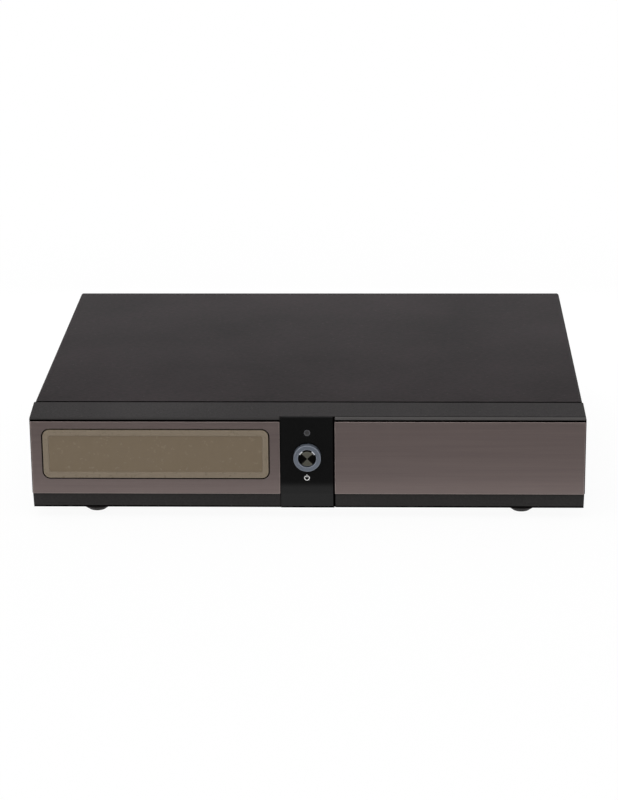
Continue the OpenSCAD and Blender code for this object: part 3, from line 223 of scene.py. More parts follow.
class Shader(Nodes):
    """A material under construction, with short calls for the patterns that the finishes share."""

    def __init__(self, name: str) -> None:
        """Start a material with one principled shader.

        Args:
            name: the material's name.
        """
        self.material = bpy.data.materials.new(name)
        self.material.use_nodes = True
        super().__init__(self.material.node_tree)
        self.surface = self.tree.nodes["Principled BSDF"]
        self.place = self.node("ShaderNodeTexCoord").outputs["Object"]

    def put(self, name: str, source: Socket | float) -> None:
        """Feed one of the principled shader's own sockets, or set a constant on it."""
        self.feed(self.surface.inputs[name], source)

    def mapped(self, stretch: Point = (1, 1, 1), shift: Point = (0, 0, 0)) -> Socket:
        """Give the place on the piece, shifted and stretched.

        Args:
            stretch: factor along each axis.
            shift: what is added after stretching.

        Returns:
            The mapped coordinates.
        """
        node = self.node("ShaderNodeMapping")
        for name, source in (("Scale", stretch), ("Location", shift), ("Vector", self.place)):
            self.feed(node.inputs[name], source)
        return node.outputs["Vector"]

    def noise(self, scale: float, stretch: Point = (1, 1, 1), detail: float = 3.0,
              place: Socket | None = None) -> Socket:
        """Give a cloud of values round one half.

        Args:
            scale: patches per metre before stretching.
            stretch: factor along each axis.
            detail: how many finer layers are added.
            place: coordinates to use in place of the piece's own.

        Returns:
            The noise value.
        """
        node = self.node("ShaderNodeTexNoise")
        for name, source in (("Scale", scale), ("Detail", detail), ("Vector", place or self.mapped(stretch))):
            self.feed(node.inputs[name], source)
        return node.outputs["Fac"]

    def cells(self, scale: float, stretch: Point = (1, 1, 1)) -> bpy.types.Node:
        """Give a pattern of cells, with its distance and colour outputs.

        Args:
            scale: cells per metre before stretching.
            stretch: factor along each axis.

        Returns:
            The pattern's node.
        """
        node = self.node("ShaderNodeTexVoronoi")
        self.feed(node.inputs["Scale"], scale)
        self.feed(node.inputs["Vector"], self.mapped(stretch))
        return node

    def blend(self, factor: Socket, first: Colour | Socket, second: Colour | Socket) -> Socket:
        """Mix two colours.

        Args:
            factor: share of the second colour.
            first: colour where the factor is zero.
            second: colour where the factor is one.

        Returns:
            The mixed colour.
        """
        node = self.node("ShaderNodeMix")
        node.data_type = "RGBA"
        self.feed(node.inputs[0], factor)
        for socket, colour in ((node.inputs[6], first), (node.inputs[7], second)):
            self.feed(socket, colour if isinstance(colour, bpy.types.NodeSocket) else (*colour, 1.0))
        return node.outputs[2]

    def varied(self, factor: Socket, colour: Colour, amount: float) -> Socket:
        """Let a colour swing from a darker to a lighter tone.

        Args:
            factor: zero for the darker tone, one for the lighter.
            colour: the colour in the middle.
            amount: how far it swings each way, as a share.

        Returns:
            The varied colour.
        """
        return self.blend(factor, shade(colour, 1 - amount), shade(colour, 1 + amount))

    def weighed(self, first: Socket, second: Socket, share: float) -> Socket:
        """Add two patterns.

        Args:
            first: one pattern.
            second: the other.
            share: what the first one makes of the whole.

        Returns:
            The sum.
        """
        return self.sum("ADD", self.sum("MULTIPLY", first, share), self.sum("MULTIPLY", second, 1 - share))

    def relief(self, height: Socket, depth: float, strength: float) -> None:
        """Roughen the surface with a height pattern.

        Args:
            height: the pattern.
            depth: its depth in metres.
            strength: how much of it shows.
        """
        node = self.node("ShaderNodeBump")
        for name, source in (("Strength", strength), ("Distance", depth), ("Height", height)):
            self.feed(node.inputs[name], source)
        self.put("Normal", node.outputs["Normal"])


class Finish:
    """What a surface is made of, named after the record's slot where it has one.

    A finish builds its material once and hands it out again after that.
    """

    name: str
    made: ClassVar[dict["Finish", bpy.types.Material]] = {}

    def material(self) -> bpy.types.Material:
        """Give the finish's material."""
        if self not in Finish.made:
            shader = Shader(self.name)
            self.mix(shader)
            Finish.made[self] = shader.material
        return Finish.made[self]

    def mix(self, shader: Shader) -> None:
        """Build the material's nodes."""
        raise NotImplementedError


@dataclass(frozen=True)
class Coating(Finish):
    """Paint, rubber or moulded plastic: a fine grain, faint mottling and, on some, pale dust."""

    name: str
    colour: Colour
    rough: float
    grain: float = 0.35 * MM
    depth: float = 0.02 * MM
    mottle: float = 0.1
    dust: float = 0.0
    shine: float = 0.4
    stretch: float = 1.0
    patches: ClassVar[float] = 14.0
    grain_share: ClassVar[float] = 0.7
    specks: ClassVar[float] = 170.0
    speck_edge: ClassVar[Pair] = (0.04, 0.12)
    lint: ClassVar[Colour] = (0.3, 0.29, 0.28)
    swing: ClassVar[float] = 0.06

    def mix(self, shader: Shader) -> None:
        """Build the material's nodes."""
        fine = shader.noise(1 / self.grain, (self.stretch, 1, 1), detail=4)
        mixed = shader.weighed(fine, shader.noise(self.patches, detail=4), self.grain_share)
        colour = shader.varied(shader.span(mixed, 0, 1), self.colour, self.mottle)
        if self.dust:
            spots = shader.cells(self.specks).outputs["Distance"]
            colour = shader.blend(shader.span(spots, self.dust, 0, *self.speck_edge), colour, self.lint)
        shader.put("Base Color", colour)
        shader.put("Roughness", shader.span(fine, self.rough - self.swing, self.rough + self.swing))
        shader.put("Specular IOR Level", self.shine)
        shader.relief(fine, self.depth, 0.5)


@dataclass(frozen=True)
class Gloss(Finish):
    """Polished plastic with faint wiping marks."""

    name: str
    colour: Colour
    rough: float = 0.06
    shine: float = 0.5
    marks: ClassVar[float] = 60.0
    mark_stretch: ClassVar[Point] = (1, 1, 0.35)
    swing: ClassVar[float] = 0.15
    dull: ClassVar[float] = 1.8

    def mix(self, shader: Shader) -> None:
        """Build the material's nodes."""
        wipes = shader.noise(self.marks, self.mark_stretch, detail=5)
        shader.put("Base Color", shader.varied(wipes, self.colour, self.swing))
        shader.put("Roughness", shader.span(wipes, self.rough, self.rough * self.dull))
        shader.put("Specular IOR Level", self.shine)


@dataclass(frozen=True)
class Brushed(Finish):
    """Anodised metal with straight brush lines along X."""

    name: str
    colour: Colour
    rough: float
    metal: float
    streak: ClassVar[float] = 0.08
    fine_lines: ClassVar[Point] = (22, 300, 4200)
    broad_lines: ClassVar[Point] = (6, 40, 420)
    fine_share: ClassVar[float] = 0.6
    swing: ClassVar[float] = 0.05
    depth: ClassVar[float] = 0.004 * MM

    def mix(self, shader: Shader) -> None:
        """Build the material's nodes."""
        lines = shader.noise(1.0, self.fine_lines)
        weave = shader.weighed(lines, shader.noise(1.0, self.broad_lines), self.fine_share)
        tone = shader.span(weave, 0, 1, 0.35, 0.65)
        shader.put("Base Color", shader.varied(tone, self.colour, self.streak))
        shader.put("Roughness", shader.span(weave, self.rough - self.swing, self.rough + self.swing))
        shader.put("Metallic", self.metal)
        shader.put("Anisotropic", 0.5)
        shader.relief(lines, self.depth, 0.6)


@dataclass(frozen=True)
class Acrylic(Finish):
    """Tinted window plastic with faint upright flow streaks."""

    name: str
    colour: Colour
    rough: float
    streak: float = 0.05
    flow: ClassVar[Point] = (260, 260, 22)
    flow_share: ClassVar[float] = 0.4
    clouds: ClassVar[float] = 420.0
    swing: ClassVar[Pair] = (0.05, 0.07)

    def mix(self, shader: Shader) -> None:
        """Build the material's nodes."""
        flow = shader.noise(1.0, self.flow)
        cloud = shader.noise(self.clouds, detail=5)
        blot = shader.weighed(flow, cloud, self.flow_share)
        shader.put("Base Color", shader.varied(shader.span(blot, 0, 1), self.colour, self.streak))
        shader.put("Roughness", shader.span(cloud, self.rough - self.swing[0], self.rough + self.swing[1]))
        shader.put("Specular IOR Level", 0.4)


@dataclass(frozen=True)
class Spun(Finish):
    """Metal turned on a lathe: rings of fine grooves, a painted highlight in two sectors, and painted shade
    in the sectors between them and round the rim.
    """

    name: str
    colour: Colour
    hub: tuple[float, float, float]
    # Painted light: these bound the painted highlight in radius and angle, and dark sets the painted shade
    # beside it and round the rim.
    highlight_r: float = 4.7 * MM
    rough: float = 0.3
    fade: ClassVar[float] = 0.2 * MM
    highlight_sector: ClassVar[Pair] = (0.66, 0.78)
    dark: ClassVar[float] = 0.008
    grooves: ClassVar[float] = 9000.0
    groove_dark: ClassVar[float] = 0.01
    groove_share: ClassVar[float] = 0.25
    polish: ClassVar[float] = 0.12
    depth: ClassVar[float] = 0.003 * MM

    def mix(self, shader: Shader) -> None:
        """Build the material's nodes."""
        across, _, up = shader.parts(shader.mapped(shift=tuple(-c for c in self.hub)))
        angle = shader.sum("ARCTAN2", up, across)
        sweep = shader.sum("ABSOLUTE", shader.sum("SINE", angle, 0.0), 0.0)
        square = shader.sum("ADD", shader.sum("POWER", across, 2.0), shader.sum("POWER", up, 2.0))
        reach = shader.sum("POWER", square, 0.5)
        track = shader.node("ShaderNodeCombineXYZ")
        shader.feed(track.inputs[0], reach)
        rings = shader.noise(self.grooves, place=track.outputs[0], detail=2)
        # Painted highlight in two sectors above and below the hub, painted shade at the sides and round the
        # rim; only the highlighted sectors are metal.
        inside = shader.span(reach, 1, 0, self.highlight_r, self.highlight_r + self.fade)
        painted_highlight = shader.sum("MULTIPLY", shader.span(sweep, 0, 1, *self.highlight_sector), inside)
        face = shader.blend(painted_highlight, shade(self.colour, self.dark), self.colour)
        cut = shader.span(rings, 0, self.groove_share)
        shader.put("Base Color", shader.blend(cut, face, shade(self.colour, self.groove_dark)))
        shader.put("Roughness", shader.span(painted_highlight, self.polish, self.rough, 0.0, 1.0))
        shader.put("Metallic", painted_highlight)
        shader.put("Specular IOR Level", shader.span(painted_highlight, 0.05, 0.5, 0.0, 1.0))
        shader.relief(rings, self.depth, 0.5)


@dataclass(frozen=True)
class Metal(Finish):
    """Bare or plated metal with a fine grain, and spangles on zinc sheet."""

    name: str
    colour: Colour
    rough: float
    spangle: float = 0.0
    metal: float = 1.0
    grain: ClassVar[float] = 0.4 * MM
    patches: ClassVar[float] = 45.0
    tones: ClassVar[Pair] = (0.88, 1.06)
    crystals: ClassVar[float] = 140.0
    crystal_tone: ClassVar[float] = 0.7
    swing: ClassVar[Pair] = (0.05, 0.08)
    depth: ClassVar[float] = 0.006 * MM

    def mix(self, shader: Shader) -> None:
        """Build the material's nodes."""
        fine = shader.noise(1 / self.grain)
        patches = shader.span(shader.noise(self.patches, detail=4), 0, 1)
        colour = shader.blend(patches, *(shade(self.colour, tone) for tone in self.tones))
        if self.spangle:
            crystals = shader.sum("MULTIPLY", shader.cells(self.crystals).outputs["Color"], self.spangle)
            colour = shader.blend(crystals, colour, shade(self.colour, self.crystal_tone))
        shader.put("Base Color", colour)
        shader.put("Roughness", shader.span(fine, self.rough - self.swing[0], self.rough + self.swing[1]))
        shader.put("Metallic", self.metal)
        shader.relief(fine, self.depth, 0.4)


@dataclass(frozen=True)
class Laminate(Finish):
    """A printed circuit board: lacquer over a maze of copper tracks, and bare pads."""

    name: str
    colour: Colour
    pitch: float = 2.2 * MM
    track_edge: ClassVar[Pair] = (0.06, 0.1)
    pad_edge: ClassVar[Pair] = (0.13, 0.16)
    pad_colour: ClassVar[Colour] = (0.55, 0.5, 0.36)
    depth: ClassVar[float] = 0.03 * MM

    def mix(self, shader: Shader) -> None:
        """Build the material's nodes."""
        maze = shader.cells(1 / self.pitch, (1, 0.4, 1))
        maze.feature = "DISTANCE_TO_EDGE"
        tracks = shader.span(maze.outputs["Distance"], 1, 0, *self.track_edge)
        pads = shader.span(shader.cells(0.4 / self.pitch).outputs["Distance"], 1, 0, *self.pad_edge)
        lacquer = shader.blend(tracks, self.colour, shade(self.colour, 1.6))
        shader.put("Base Color", shader.blend(pads, lacquer, self.pad_colour))
        shader.put("Metallic", pads)
        shader.put("Roughness", 0.35)
        shader.relief(tracks, self.depth, 0.5)


@dataclass(frozen=True)
class Print(Finish):
    """A printed mark, a little uneven where the ink is thin."""

    name: str
    colour: Colour
    blots: ClassVar[float] = 2600.0

    def mix(self, shader: Shader) -> None:
        """Build the material's nodes."""
        ink = shader.span(shader.noise(self.blots), 0, 1)
        shader.put("Base Color", shader.blend(ink, shade(self.colour, 0.9), self.colour))
        shader.put("Roughness", 0.5)


class Rack:
    """The finishes that the receiver uses."""

    COVER = Coating("cover_steel", (0.0155, 0.0118, 0.0128), rough=0.5, grain=0.9 * MM, depth=0.05 * MM,
                    mottle=0.95, dust=0.08, shine=0.0055, stretch=0.3)
    SHEET = Metal("plain_steel", (0.5, 0.5, 0.49), rough=0.38, spangle=0.28)
    FASCIA = Coating("fascia_plastic", (0.0345, 0.0322, 0.0326), rough=0.5, grain=0.9 * MM, mottle=0.35,
                     dust=0.05, shine=0.08)
    # Painted shade: a darker copy of the fascia coat for the strip that faces down.
    STRIP_SHADE = Coating("fascia_strip", (0.0295, 0.0276, 0.0272), rough=0.5, grain=0.9 * MM, depth=0.015 * MM,
                    mottle=0.2, shine=0.08)
    # Painted highlight: a lighter copy of the fascia coat for the rolled lip's front.
    NOSE_LIGHT = Coating("fascia_nose", (0.039, 0.0366, 0.0366), rough=0.5, grain=0.9 * MM, depth=0.015 * MM,
                   mottle=0.12, shine=0.08)
    # Painted highlight: a paler copy of the fascia coat for the door's lip.
    LIP_LIGHT = Coating("door_lip", (0.071, 0.067, 0.066), rough=0.45, grain=0.8 * MM, depth=0.012 * MM,
                  mottle=0.06, shine=0.15)
    # Painted shade: near black, for the gaps, seams and edges where shade falls.
    PAINTED_SHADE = Coating("groove_black", (0.0013, 0.001, 0.001), rough=0.8, grain=0.5 * MM, depth=0.01 * MM,
                     mottle=0.2, shine=0.0)
    PANEL = Gloss("gloss_panel", (0.003, 0.003, 0.003), rough=0.05, shine=0.26)
    BRONZE = Brushed("bronze_plate", (0.187, 0.146, 0.138), rough=0.42, metal=0.5)
    # Painted highlight along the plates' outer edges.
    PLATE_HIGHLIGHT = Brushed("bronze_edge", (0.46, 0.375, 0.355), rough=0.38, metal=0.5)
    RIM = Acrylic("window_rim", (0.223, 0.179, 0.128), rough=0.3)
    PANE = Acrylic("window_pane", (0.188, 0.145, 0.096), rough=0.22, streak=0.025)
    EYE = Gloss("eye_acrylic", (0.05, 0.048, 0.05), rough=0.25)
    EYE_RIM = Coating("eye_rim", (0.085, 0.085, 0.092), rough=0.4)
    RING = Metal("ring_metal", (0.168, 0.191, 0.233), rough=0.38, metal=0.4)
    # Painted highlight on the ring's rounded edges.
    RING_HIGHLIGHT = Metal("ring_edge", (0.33, 0.36, 0.415), rough=0.32, metal=0.4)
    # Painted glints: white marks where the button's rim would catch two lamps.
    GLINT = Gloss("button_light", (0.85, 0.87, 0.9), rough=0.2)
    CONTROL = Coating("panel_plastic", (0.042, 0.042, 0.044), rough=0.5, grain=0.3 * MM, depth=0.015 * MM)
    KEY = Coating("key_plastic", (0.17, 0.168, 0.17), rough=0.42, grain=0.3 * MM, depth=0.01 * MM)
    BLACK = Coating("black_plastic", (0.02, 0.02, 0.021), rough=0.42, grain=0.3 * MM, depth=0.01 * MM)
    ROCKER = Gloss("rocker_plastic", (0.012, 0.012, 0.013), rough=0.2)
    RUBBER = Coating("foot_rubber", (0.019, 0.0165, 0.016), rough=0.75, grain=0.5 * MM, depth=0.03 * MM,
                     shine=0.2)
    NICKEL = Metal("socket_metal", (0.62, 0.6, 0.56), rough=0.22)
    GOLD = Metal("contact_gold", (0.8, 0.55, 0.2), rough=0.25)
    BOARD = Laminate("board_laminate", (0.012, 0.09, 0.04))
    POWER_BOARD = Laminate("power_board_laminate", (0.32, 0.2, 0.09), pitch=4 * MM)
    TUBE = Gloss("tube_glass", (0.02, 0.035, 0.035), rough=0.05)
    SINK = Metal("sink_aluminium", (0.6, 0.6, 0.61), rough=0.36)
    FERRITE = Coating("ferrite", (0.025, 0.024, 0.024), rough=0.6)
    SLEEVE = Coating("capacitor_sleeve", (0.015, 0.02, 0.055), rough=0.3)
    RIBBON = Coating("ribbon_plastic", (0.3, 0.3, 0.29), rough=0.5)
    TONGUE = Coating("socket_tongue", (0.03, 0.03, 0.032), rough=0.45, grain=0.3 * MM, depth=0.01 * MM)
    INSULATOR = Coating("aerial_insulator", (0.72, 0.71, 0.67), rough=0.4, grain=0.3 * MM, depth=0.01 * MM,
                        mottle=0.04)
    LAMP_GREEN = Gloss("lamp_green", (0.05, 0.32, 0.08), rough=0.15)
    LAMP_AMBER = Gloss("lamp_amber", (0.6, 0.26, 0.03), rough=0.15)
    YELLOW = Gloss("phono_yellow", (0.75, 0.5, 0.02), rough=0.25)
    WHITE = Gloss("phono_white", (0.78, 0.78, 0.75), rough=0.25)
    RED = Gloss("phono_red", (0.5, 0.02, 0.015), rough=0.25)
    GREEN = Gloss("phono_green", (0.02, 0.25, 0.05), rough=0.25)
    BLUE = Gloss("phono_blue", (0.015, 0.06, 0.4), rough=0.25)
    PHONO = ((RED, BLUE, GREEN), (RED, WHITE, YELLOW))
    INK = Print("white_print", (0.95, 0.95, 0.93))


class Workpiece:
    """A mesh on the bench, with one call for each modelling step."""

    sharp: ClassVar[float] = 35.0
    smooth: ClassVar[float] = 32.0
    flat: ClassVar[float] = 0.6
    weld: ClassVar[float] = 1e-6
    weld_solid: ClassVar[float] = 2e-6
    same: ClassVar[float] = 1e-7
    hoop_sides: ClassVar[int] = 40

    def __init__(self, obj: bpy.types.Object) -> None:
        """Take an object onto the bench."""
        self.obj = obj

    @staticmethod
    def clear() -> None:
        """Leave edit mode and let go of everything."""
        if bpy.context.mode != "OBJECT":
            bpy.ops.object.mode_set(mode="OBJECT")
        bpy.ops.object.select_all(action="DESELECT")

    @classmethod
    def fresh(cls, name: str) -> "Workpiece":
        """Take the object that an operator has just added, with its place worked into its mesh.

        Args:
            name: the piece's name.

        Returns:
            The piece on the bench.
        """
        obj = bpy.context.object
        obj.name = name
        obj.data.name = name
        bpy.ops.object.transform_apply(location=True, rotation=True, scale=True)
        return cls(obj)

    @classmethod
    def laid(cls, name: str, mesh: bpy.types.Mesh) -> "Workpiece":
        """Lay a copy of a mesh on the bench.

        Args:
            name: the piece's name.
            mesh: the mesh to copy.

        Returns:
            The piece on the bench.
        """
        cls.clear()
        obj = bpy.data.objects.new(name, mesh.copy())
        bpy.context.scene.collection.objects.link(obj)
        return cls(obj)

    @classmethod
    def block(cls, name: str, low: Point, high: Point) -> "Workpiece":
        """Start from a block.

        Args:
            name: the piece's name.
            low: lowest corner.
            high: highest corner.

        Returns:
            The piece on the bench.
        """
        cls.clear()
        low, high = Vector(low), Vector(high)
        bpy.ops.mesh.primitive_cube_add(size=1.0, location=(low + high) / 2, scale=high - low)
        return cls.fresh(name)

    @classmethod
    def disc(cls, name: str, spot: Point, radius: float, sides: int, tilt: float = 90.0) -> "Workpiece":
        """Start from a filled circle.

        Args:
            name: the piece's name.
            spot: middle of the circle.
            radius: its radius.
            sides: number of sides.
            tilt: degrees that it is turned about X, from lying flat.

        Returns:
            The piece on the bench.
        """
        cls.clear()
        bpy.ops.mesh.primitive_circle_add(vertices=sides, radius=radius, fill_type="NGON", location=spot,
                                          rotation=(math.radians(tilt), 0, 0))
        return cls.fresh(name)

    @classmethod
    def hoop(cls, name: str, spot: Point, radius: float, stroke: float, depth: float,
             tilt: float = 90.0) -> "Workpiece":
        """Start from a thin upright ring.

        Args:
            name: the piece's name.
            spot: middle of the ring.
            radius: its outer radius.
            stroke: width of the ring.
            depth: its thickness.
            tilt: degrees that it is turned about X, from lying flat.

        Returns:
            The piece on the bench.
        """
        piece = cls.disc(name, spot, radius, cls.hoop_sides, tilt)
        with piece.edit(Pick.FACE, whole=True):
            bpy.ops.mesh.inset(thickness=stroke)
            bpy.ops.mesh.delete(type="FACE")
        return piece.thickened(depth)

    @classmethod
    def turned(cls, name: str, outline: Sequence[Point], hub: Point, steps: int = 96,
               closed: bool = False) -> "Workpiece":
        """Draw an outline point by point and spin it round an axis from front to back.

        Args:
            name: the piece's name.
            outline: pairs of radius and place along the axis.
            hub: a point on the axis, from which the places are counted.
            steps: number of steps round.
            closed: whether the last point joins the first.

        Returns:
            The piece on the bench.
        """
        cls.clear()
        hub, along, out = Vector(hub), Vector(Axis.Y.value), Vector(Axis.Z.value)
        spots = [hub + out * r + along * a for r, a in outline]
        bpy.ops.mesh.primitive_plane_add(size=1 * MM, location=spots[0])
        piece = cls.fresh(name)
        with piece.edit(Pick.VERTEX, whole=True):
            bpy.ops.mesh.merge(type="CENTER")
            for here, there in zip(spots, spots[1:]):
                bpy.ops.mesh.extrude_region_move(TRANSFORM_OT_translate={"value": there - here})
            if closed:
                ends = (spots[0], spots[-1])
                piece.select(Pick.VERTEX, lambda p, _: min((p - end).length for end in ends) < cls.same)
                bpy.ops.mesh.edge_face_add()
            bpy.ops.mesh.select_all(action="SELECT")
            bpy.ops.mesh.spin(steps=steps, angle=math.tau, center=hub, axis=along)
            bpy.ops.mesh.select_all(action="SELECT")
            bpy.ops.mesh.remove_doubles(threshold=cls.weld)
            bpy.ops.mesh.normals_make_consistent(inside=False)
        return piece

    @classmethod
    def copied(cls, node: str) -> "Workpiece":
        """Copy a solid of the frame, and merge its loose triangles into whole faces.

        Args:
            node: the solid's name.

        Returns:
            The copy on the bench.
        """
        piece = cls.laid(f"{node}_dressed", frame["nodes"][node].data)
        piece.obj.data.materials.clear()
        with piece.edit(Pick.VERTEX, whole=True):
            bpy.ops.mesh.remove_doubles(threshold=cls.weld_solid)
            bpy.ops.mesh.normals_make_consistent(inside=False)
            bpy.ops.mesh.dissolve_limited(angle_limit=math.radians(cls.flat))
        return piece

    def hold(self) -> None:
        """Make the piece the one that operators work on."""
        Workpiece.clear()
        bpy.context.view_layer.objects.active = self.obj
        self.obj.select_set(True)

    @contextmanager
    def edit(self, pick: Pick, whole: bool = False) -> Iterator[None]:
        """Work on the piece in edit mode.

        Args:
            pick: what selections are made of.
            whole: whether everything is selected at first, and not nothing.

        Yields:
            Nothing.
        """
        self.hold()
        bpy.ops.object.mode_set(mode="EDIT")
        bpy.ops.mesh.select_mode(type=pick.value)
        bpy.ops.mesh.select_all(action="SELECT" if whole else "DESELECT")
        yield
        bpy.ops.object.mode_set(mode="OBJECT")

    def select(self, pick: Pick, test: Test) -> None:
        """Select by place and normal, in edit mode.

        Args:
            pick: what is selected.
            test: takes the middle and the normal, and says whether to select. An edge has its direction
                in place of a normal.
        """
        bpy.ops.mesh.select_mode(type=pick.value)
        bpy.ops.mesh.select_all(action="DESELECT")
        mesh = bmesh.from_edit_mesh(self.obj.data)
        if pick is Pick.FACE:
            items = [(f, f.calc_center_median(), f.normal) for f in mesh.faces]
        elif pick is Pick.EDGE:
            items = [(e, (e.verts[0].co + e.verts[1].co) / 2, (e.verts[1].co - e.verts[0].co).normalized())
                     for e in mesh.edges]
        else:
            items = [(v, v.co, v.normal) for v in mesh.verts]
        for item, middle, normal in items:
            if test(middle, normal):
                item.select_set(True)
        mesh.select_flush_mode()
        bmesh.update_edit_mesh(self.obj.data)

    def soften(self, width: float, segments: int = 2, split: bool = False, least: float = 0.0) -> "Workpiece":
        """Round every sharp edge.

        Args:
            width: width of the rounding.
            segments: steps across it.
            split: whether hollow outlines are cut into simple ones first.
            least: length of the shortest edge that is rounded.

        Returns:
            The same piece.
        """
        with self.edit(Pick.EDGE, whole=split):
            if split:
                bpy.ops.mesh.vert_connect_concave()
                bpy.ops.mesh.select_all(action="DESELECT")
            bpy.ops.mesh.edges_select_sharp(sharpness=math.radians(self.sharp))
            mesh = bmesh.from_edit_mesh(self.obj.data)
            for edge in mesh.edges:
                if edge.select and edge.calc_length() < least:
                    edge.select_set(False)
            mesh.select_flush_mode()
            bmesh.update_edit_mesh(self.obj.data)
            bpy.ops.mesh.bevel(offset=width, segments=segments, profile=0.5, clamp_overlap=False,
                               face_strength_mode="ALL")
            bpy.ops.mesh.select_all(action="SELECT")
            bpy.ops.mesh.remove_doubles(threshold=self.weld)
        return self

    def cornered(self, radius: float) -> "Workpiece":
        """Round the edges that run from front to back."""
        with self.edit(Pick.EDGE):
            self.select(Pick.EDGE, lambda _, way: abs(way.y) > ALONG)
            bpy.ops.mesh.bevel(offset=radius, segments=3)
        return self

    def coated(self, finish: Finish) -> "Workpiece":
        """Give the whole piece its first finish."""
        self.obj.data.materials.append(finish.material())
        return self

    def painted(self, finish: Finish, test: Test) -> "Workpiece":
        """Give another finish to some faces of a piece that has its first one.

        Args:
            finish: the other finish.
            test: takes a face's middle and normal, and says whether to paint it.

        Returns:
            The same piece.
        """
        self.obj.data.materials.append(finish.material())
        self.obj.active_material_index = len(self.obj.data.materials) - 1
        with self.edit(Pick.FACE):
            self.select(Pick.FACE, test)
            bpy.ops.object.material_slot_assign()
        return self

    def creased(self, test: Test) -> "Workpiece":
        """Keep the edges sharp that a test picks by their middle and direction."""
        with self.edit(Pick.EDGE):
            self.select(Pick.EDGE, test)
            bpy.ops.mesh.mark_sharp()
        return self

    def scored(self, place: float, axis: Axis = Axis.Z) -> "Workpiece":
        """Cut the faces along a plane, without parting them.

        Args:
            place: where the plane stands on its axis.
            axis: the axis that it stands on.

        Returns:
            The same piece.
        """
        way = Vector(axis.value)
        with self.edit(Pick.FACE, whole=True):
            bpy.ops.mesh.bisect(plane_co=way * place, plane_no=way)
        return self

    def thickened(self, depth: float) -> "Workpiece":
        """Draw a flat piece out towards the back by some depth."""
        with self.edit(Pick.FACE, whole=True):
            bpy.ops.mesh.extrude_region_move(TRANSFORM_OT_translate={"value": (0, depth, 0)})
            bpy.ops.mesh.select_all(action="SELECT")
            bpy.ops.mesh.normals_make_consistent(inside=False)
        return self

    def swung(self, angle: float, axis: Axis, hub: Point) -> "Workpiece":
        """Turn the piece about an axis.

        Args:
            angle: how far, in radians.
            axis: direction of the axis.
            hub: a point on it.

        Returns:
            The same piece.
        """
        with self.edit(Pick.VERTEX, whole=True):
            bpy.ops.transform.rotate(value=angle, orient_axis=axis.name, center_override=hub)
        return self

    def islands(self) -> list[tuple[Vector, Vector]]:
        """Give the lowest and highest corner of each loose part."""
        mesh = bmesh.new()
        mesh.from_mesh(self.obj.data)
        left, found = set(mesh.verts), []
        while left:
            stack, spots = [left.pop()], []
            while stack:
                vert = stack.pop()
                spots.append(vert.co.copy())
                for edge in vert.link_edges:
                    other = edge.other_vert(vert)
                    if other in left:
                        left.remove(other)
                        stack.append(other)
            found.append(tuple(Vector(end(p[i] for p in spots) for i in range(3)) for end in (min, max)))
        mesh.free()
        return sorted(found, key=lambda corners: tuple(corners[0]))

    def shifted(self, name: str, move: Point) -> "Workpiece":
        """Copy the piece, with a mesh of its own, to another place.

        Args:
            name: the copy's name.
            move: how far it is moved.

        Returns:
            The copy on the bench.
        """
        copy = Workpiece.laid(name, self.obj.data)
        with copy.edit(Pick.VERTEX, whole=True):
            bpy.ops.transform.translate(value=move)
        return copy

    def joined(self, others: Sequence["Workpiece"]) -> "Workpiece":
        """Join other pieces, if there are any, into this one."""
        self.hold()
        for piece in others:
            piece.obj.select_set(True)
        if others:
            bpy.ops.object.join()
        return self

    def carved(self, tool: "Workpiece") -> "Workpiece":
        """Cut another piece's shape out of this one, and use that piece up."""
        self.hold()
        cut = self.obj.modifiers.new("cut", "BOOLEAN")
        cut.operation = "DIFFERENCE"
        cut.solver = "EXACT"
        cut.use_self = True
        cut.object = tool.obj
        bpy.ops.object.modifier_apply(modifier="cut")
        bpy.data.objects.remove(tool.obj)
        return self

    def settle(self, finish: Finish, slot: str = "", body: str = "case",
               nodes: Sequence[str] = ()) -> bpy.types.Object:
        """Shade the piece, give it its finish and hand it over to the body that carries it.

        Args:
            finish: what it is made of.
            slot: the record's material slot, where the finish isn't named after it; not used.
            body: the body that it rides on.
            nodes: the solids that it stands for.

        Returns:
            The finished object.
        """
        self.hold()
        bpy.ops.object.shade_smooth_by_angle(angle=math.radians(self.smooth))
        flat = self.obj.modifiers.new("flat", "WEIGHTED_NORMAL")
        flat.keep_sharp = True
        flat.use_face_influence = True
        flat.weight = 100
        bpy.ops.object.modifier_apply(modifier="flat")
        if not self.obj.data.materials:
            self.coated(finish)
        slot = slot or finish.name
        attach(self.obj, body)
        if nodes:
            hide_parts(*nodes)
        return self.obj


@dataclass(frozen=True)
class Coat:
    """How one solid of the frame is dressed."""

    node: str
    finish: Finish
    edge: float
    segments: int = 2
    slot: str = ""
    paint: tuple[tuple[Finish, Test], ...] = ()
    least: float = 0.0

    def apply(self) -> bpy.types.Object:
        """Copy the solid, round its edges, give it its finish and paint the faces that have another."""
        piece = Workpiece.copied(self.node).soften(self.edge, self.segments, least=self.least)
        piece.coated(self.finish)
        for finish, test in self.paint:
            piece.painted(finish, test)
        return piece.settle(self.finish, self.slot, body_of(self.node), (self.node,))


class Level:
    """Places on the front and the back that several groups share, read from the frame."""

    PLATE_BACK = box("display_plate")[1].y
    PLATE_LOW = box("display_plate")[0].z
    PLATE_TOP = box("display_plate")[1].z
    COVER_FRONT = box("top_cover")[0].y
    PANEL_FRONT = box("centre_panel")[0].y
    PANEL_SIDE = box("centre_panel")[1].x
    TOE = box("centre_panel")[0].z
    BOARD = box("tuner_left")[0].z
    REAR = box("rear_panel")[1].y


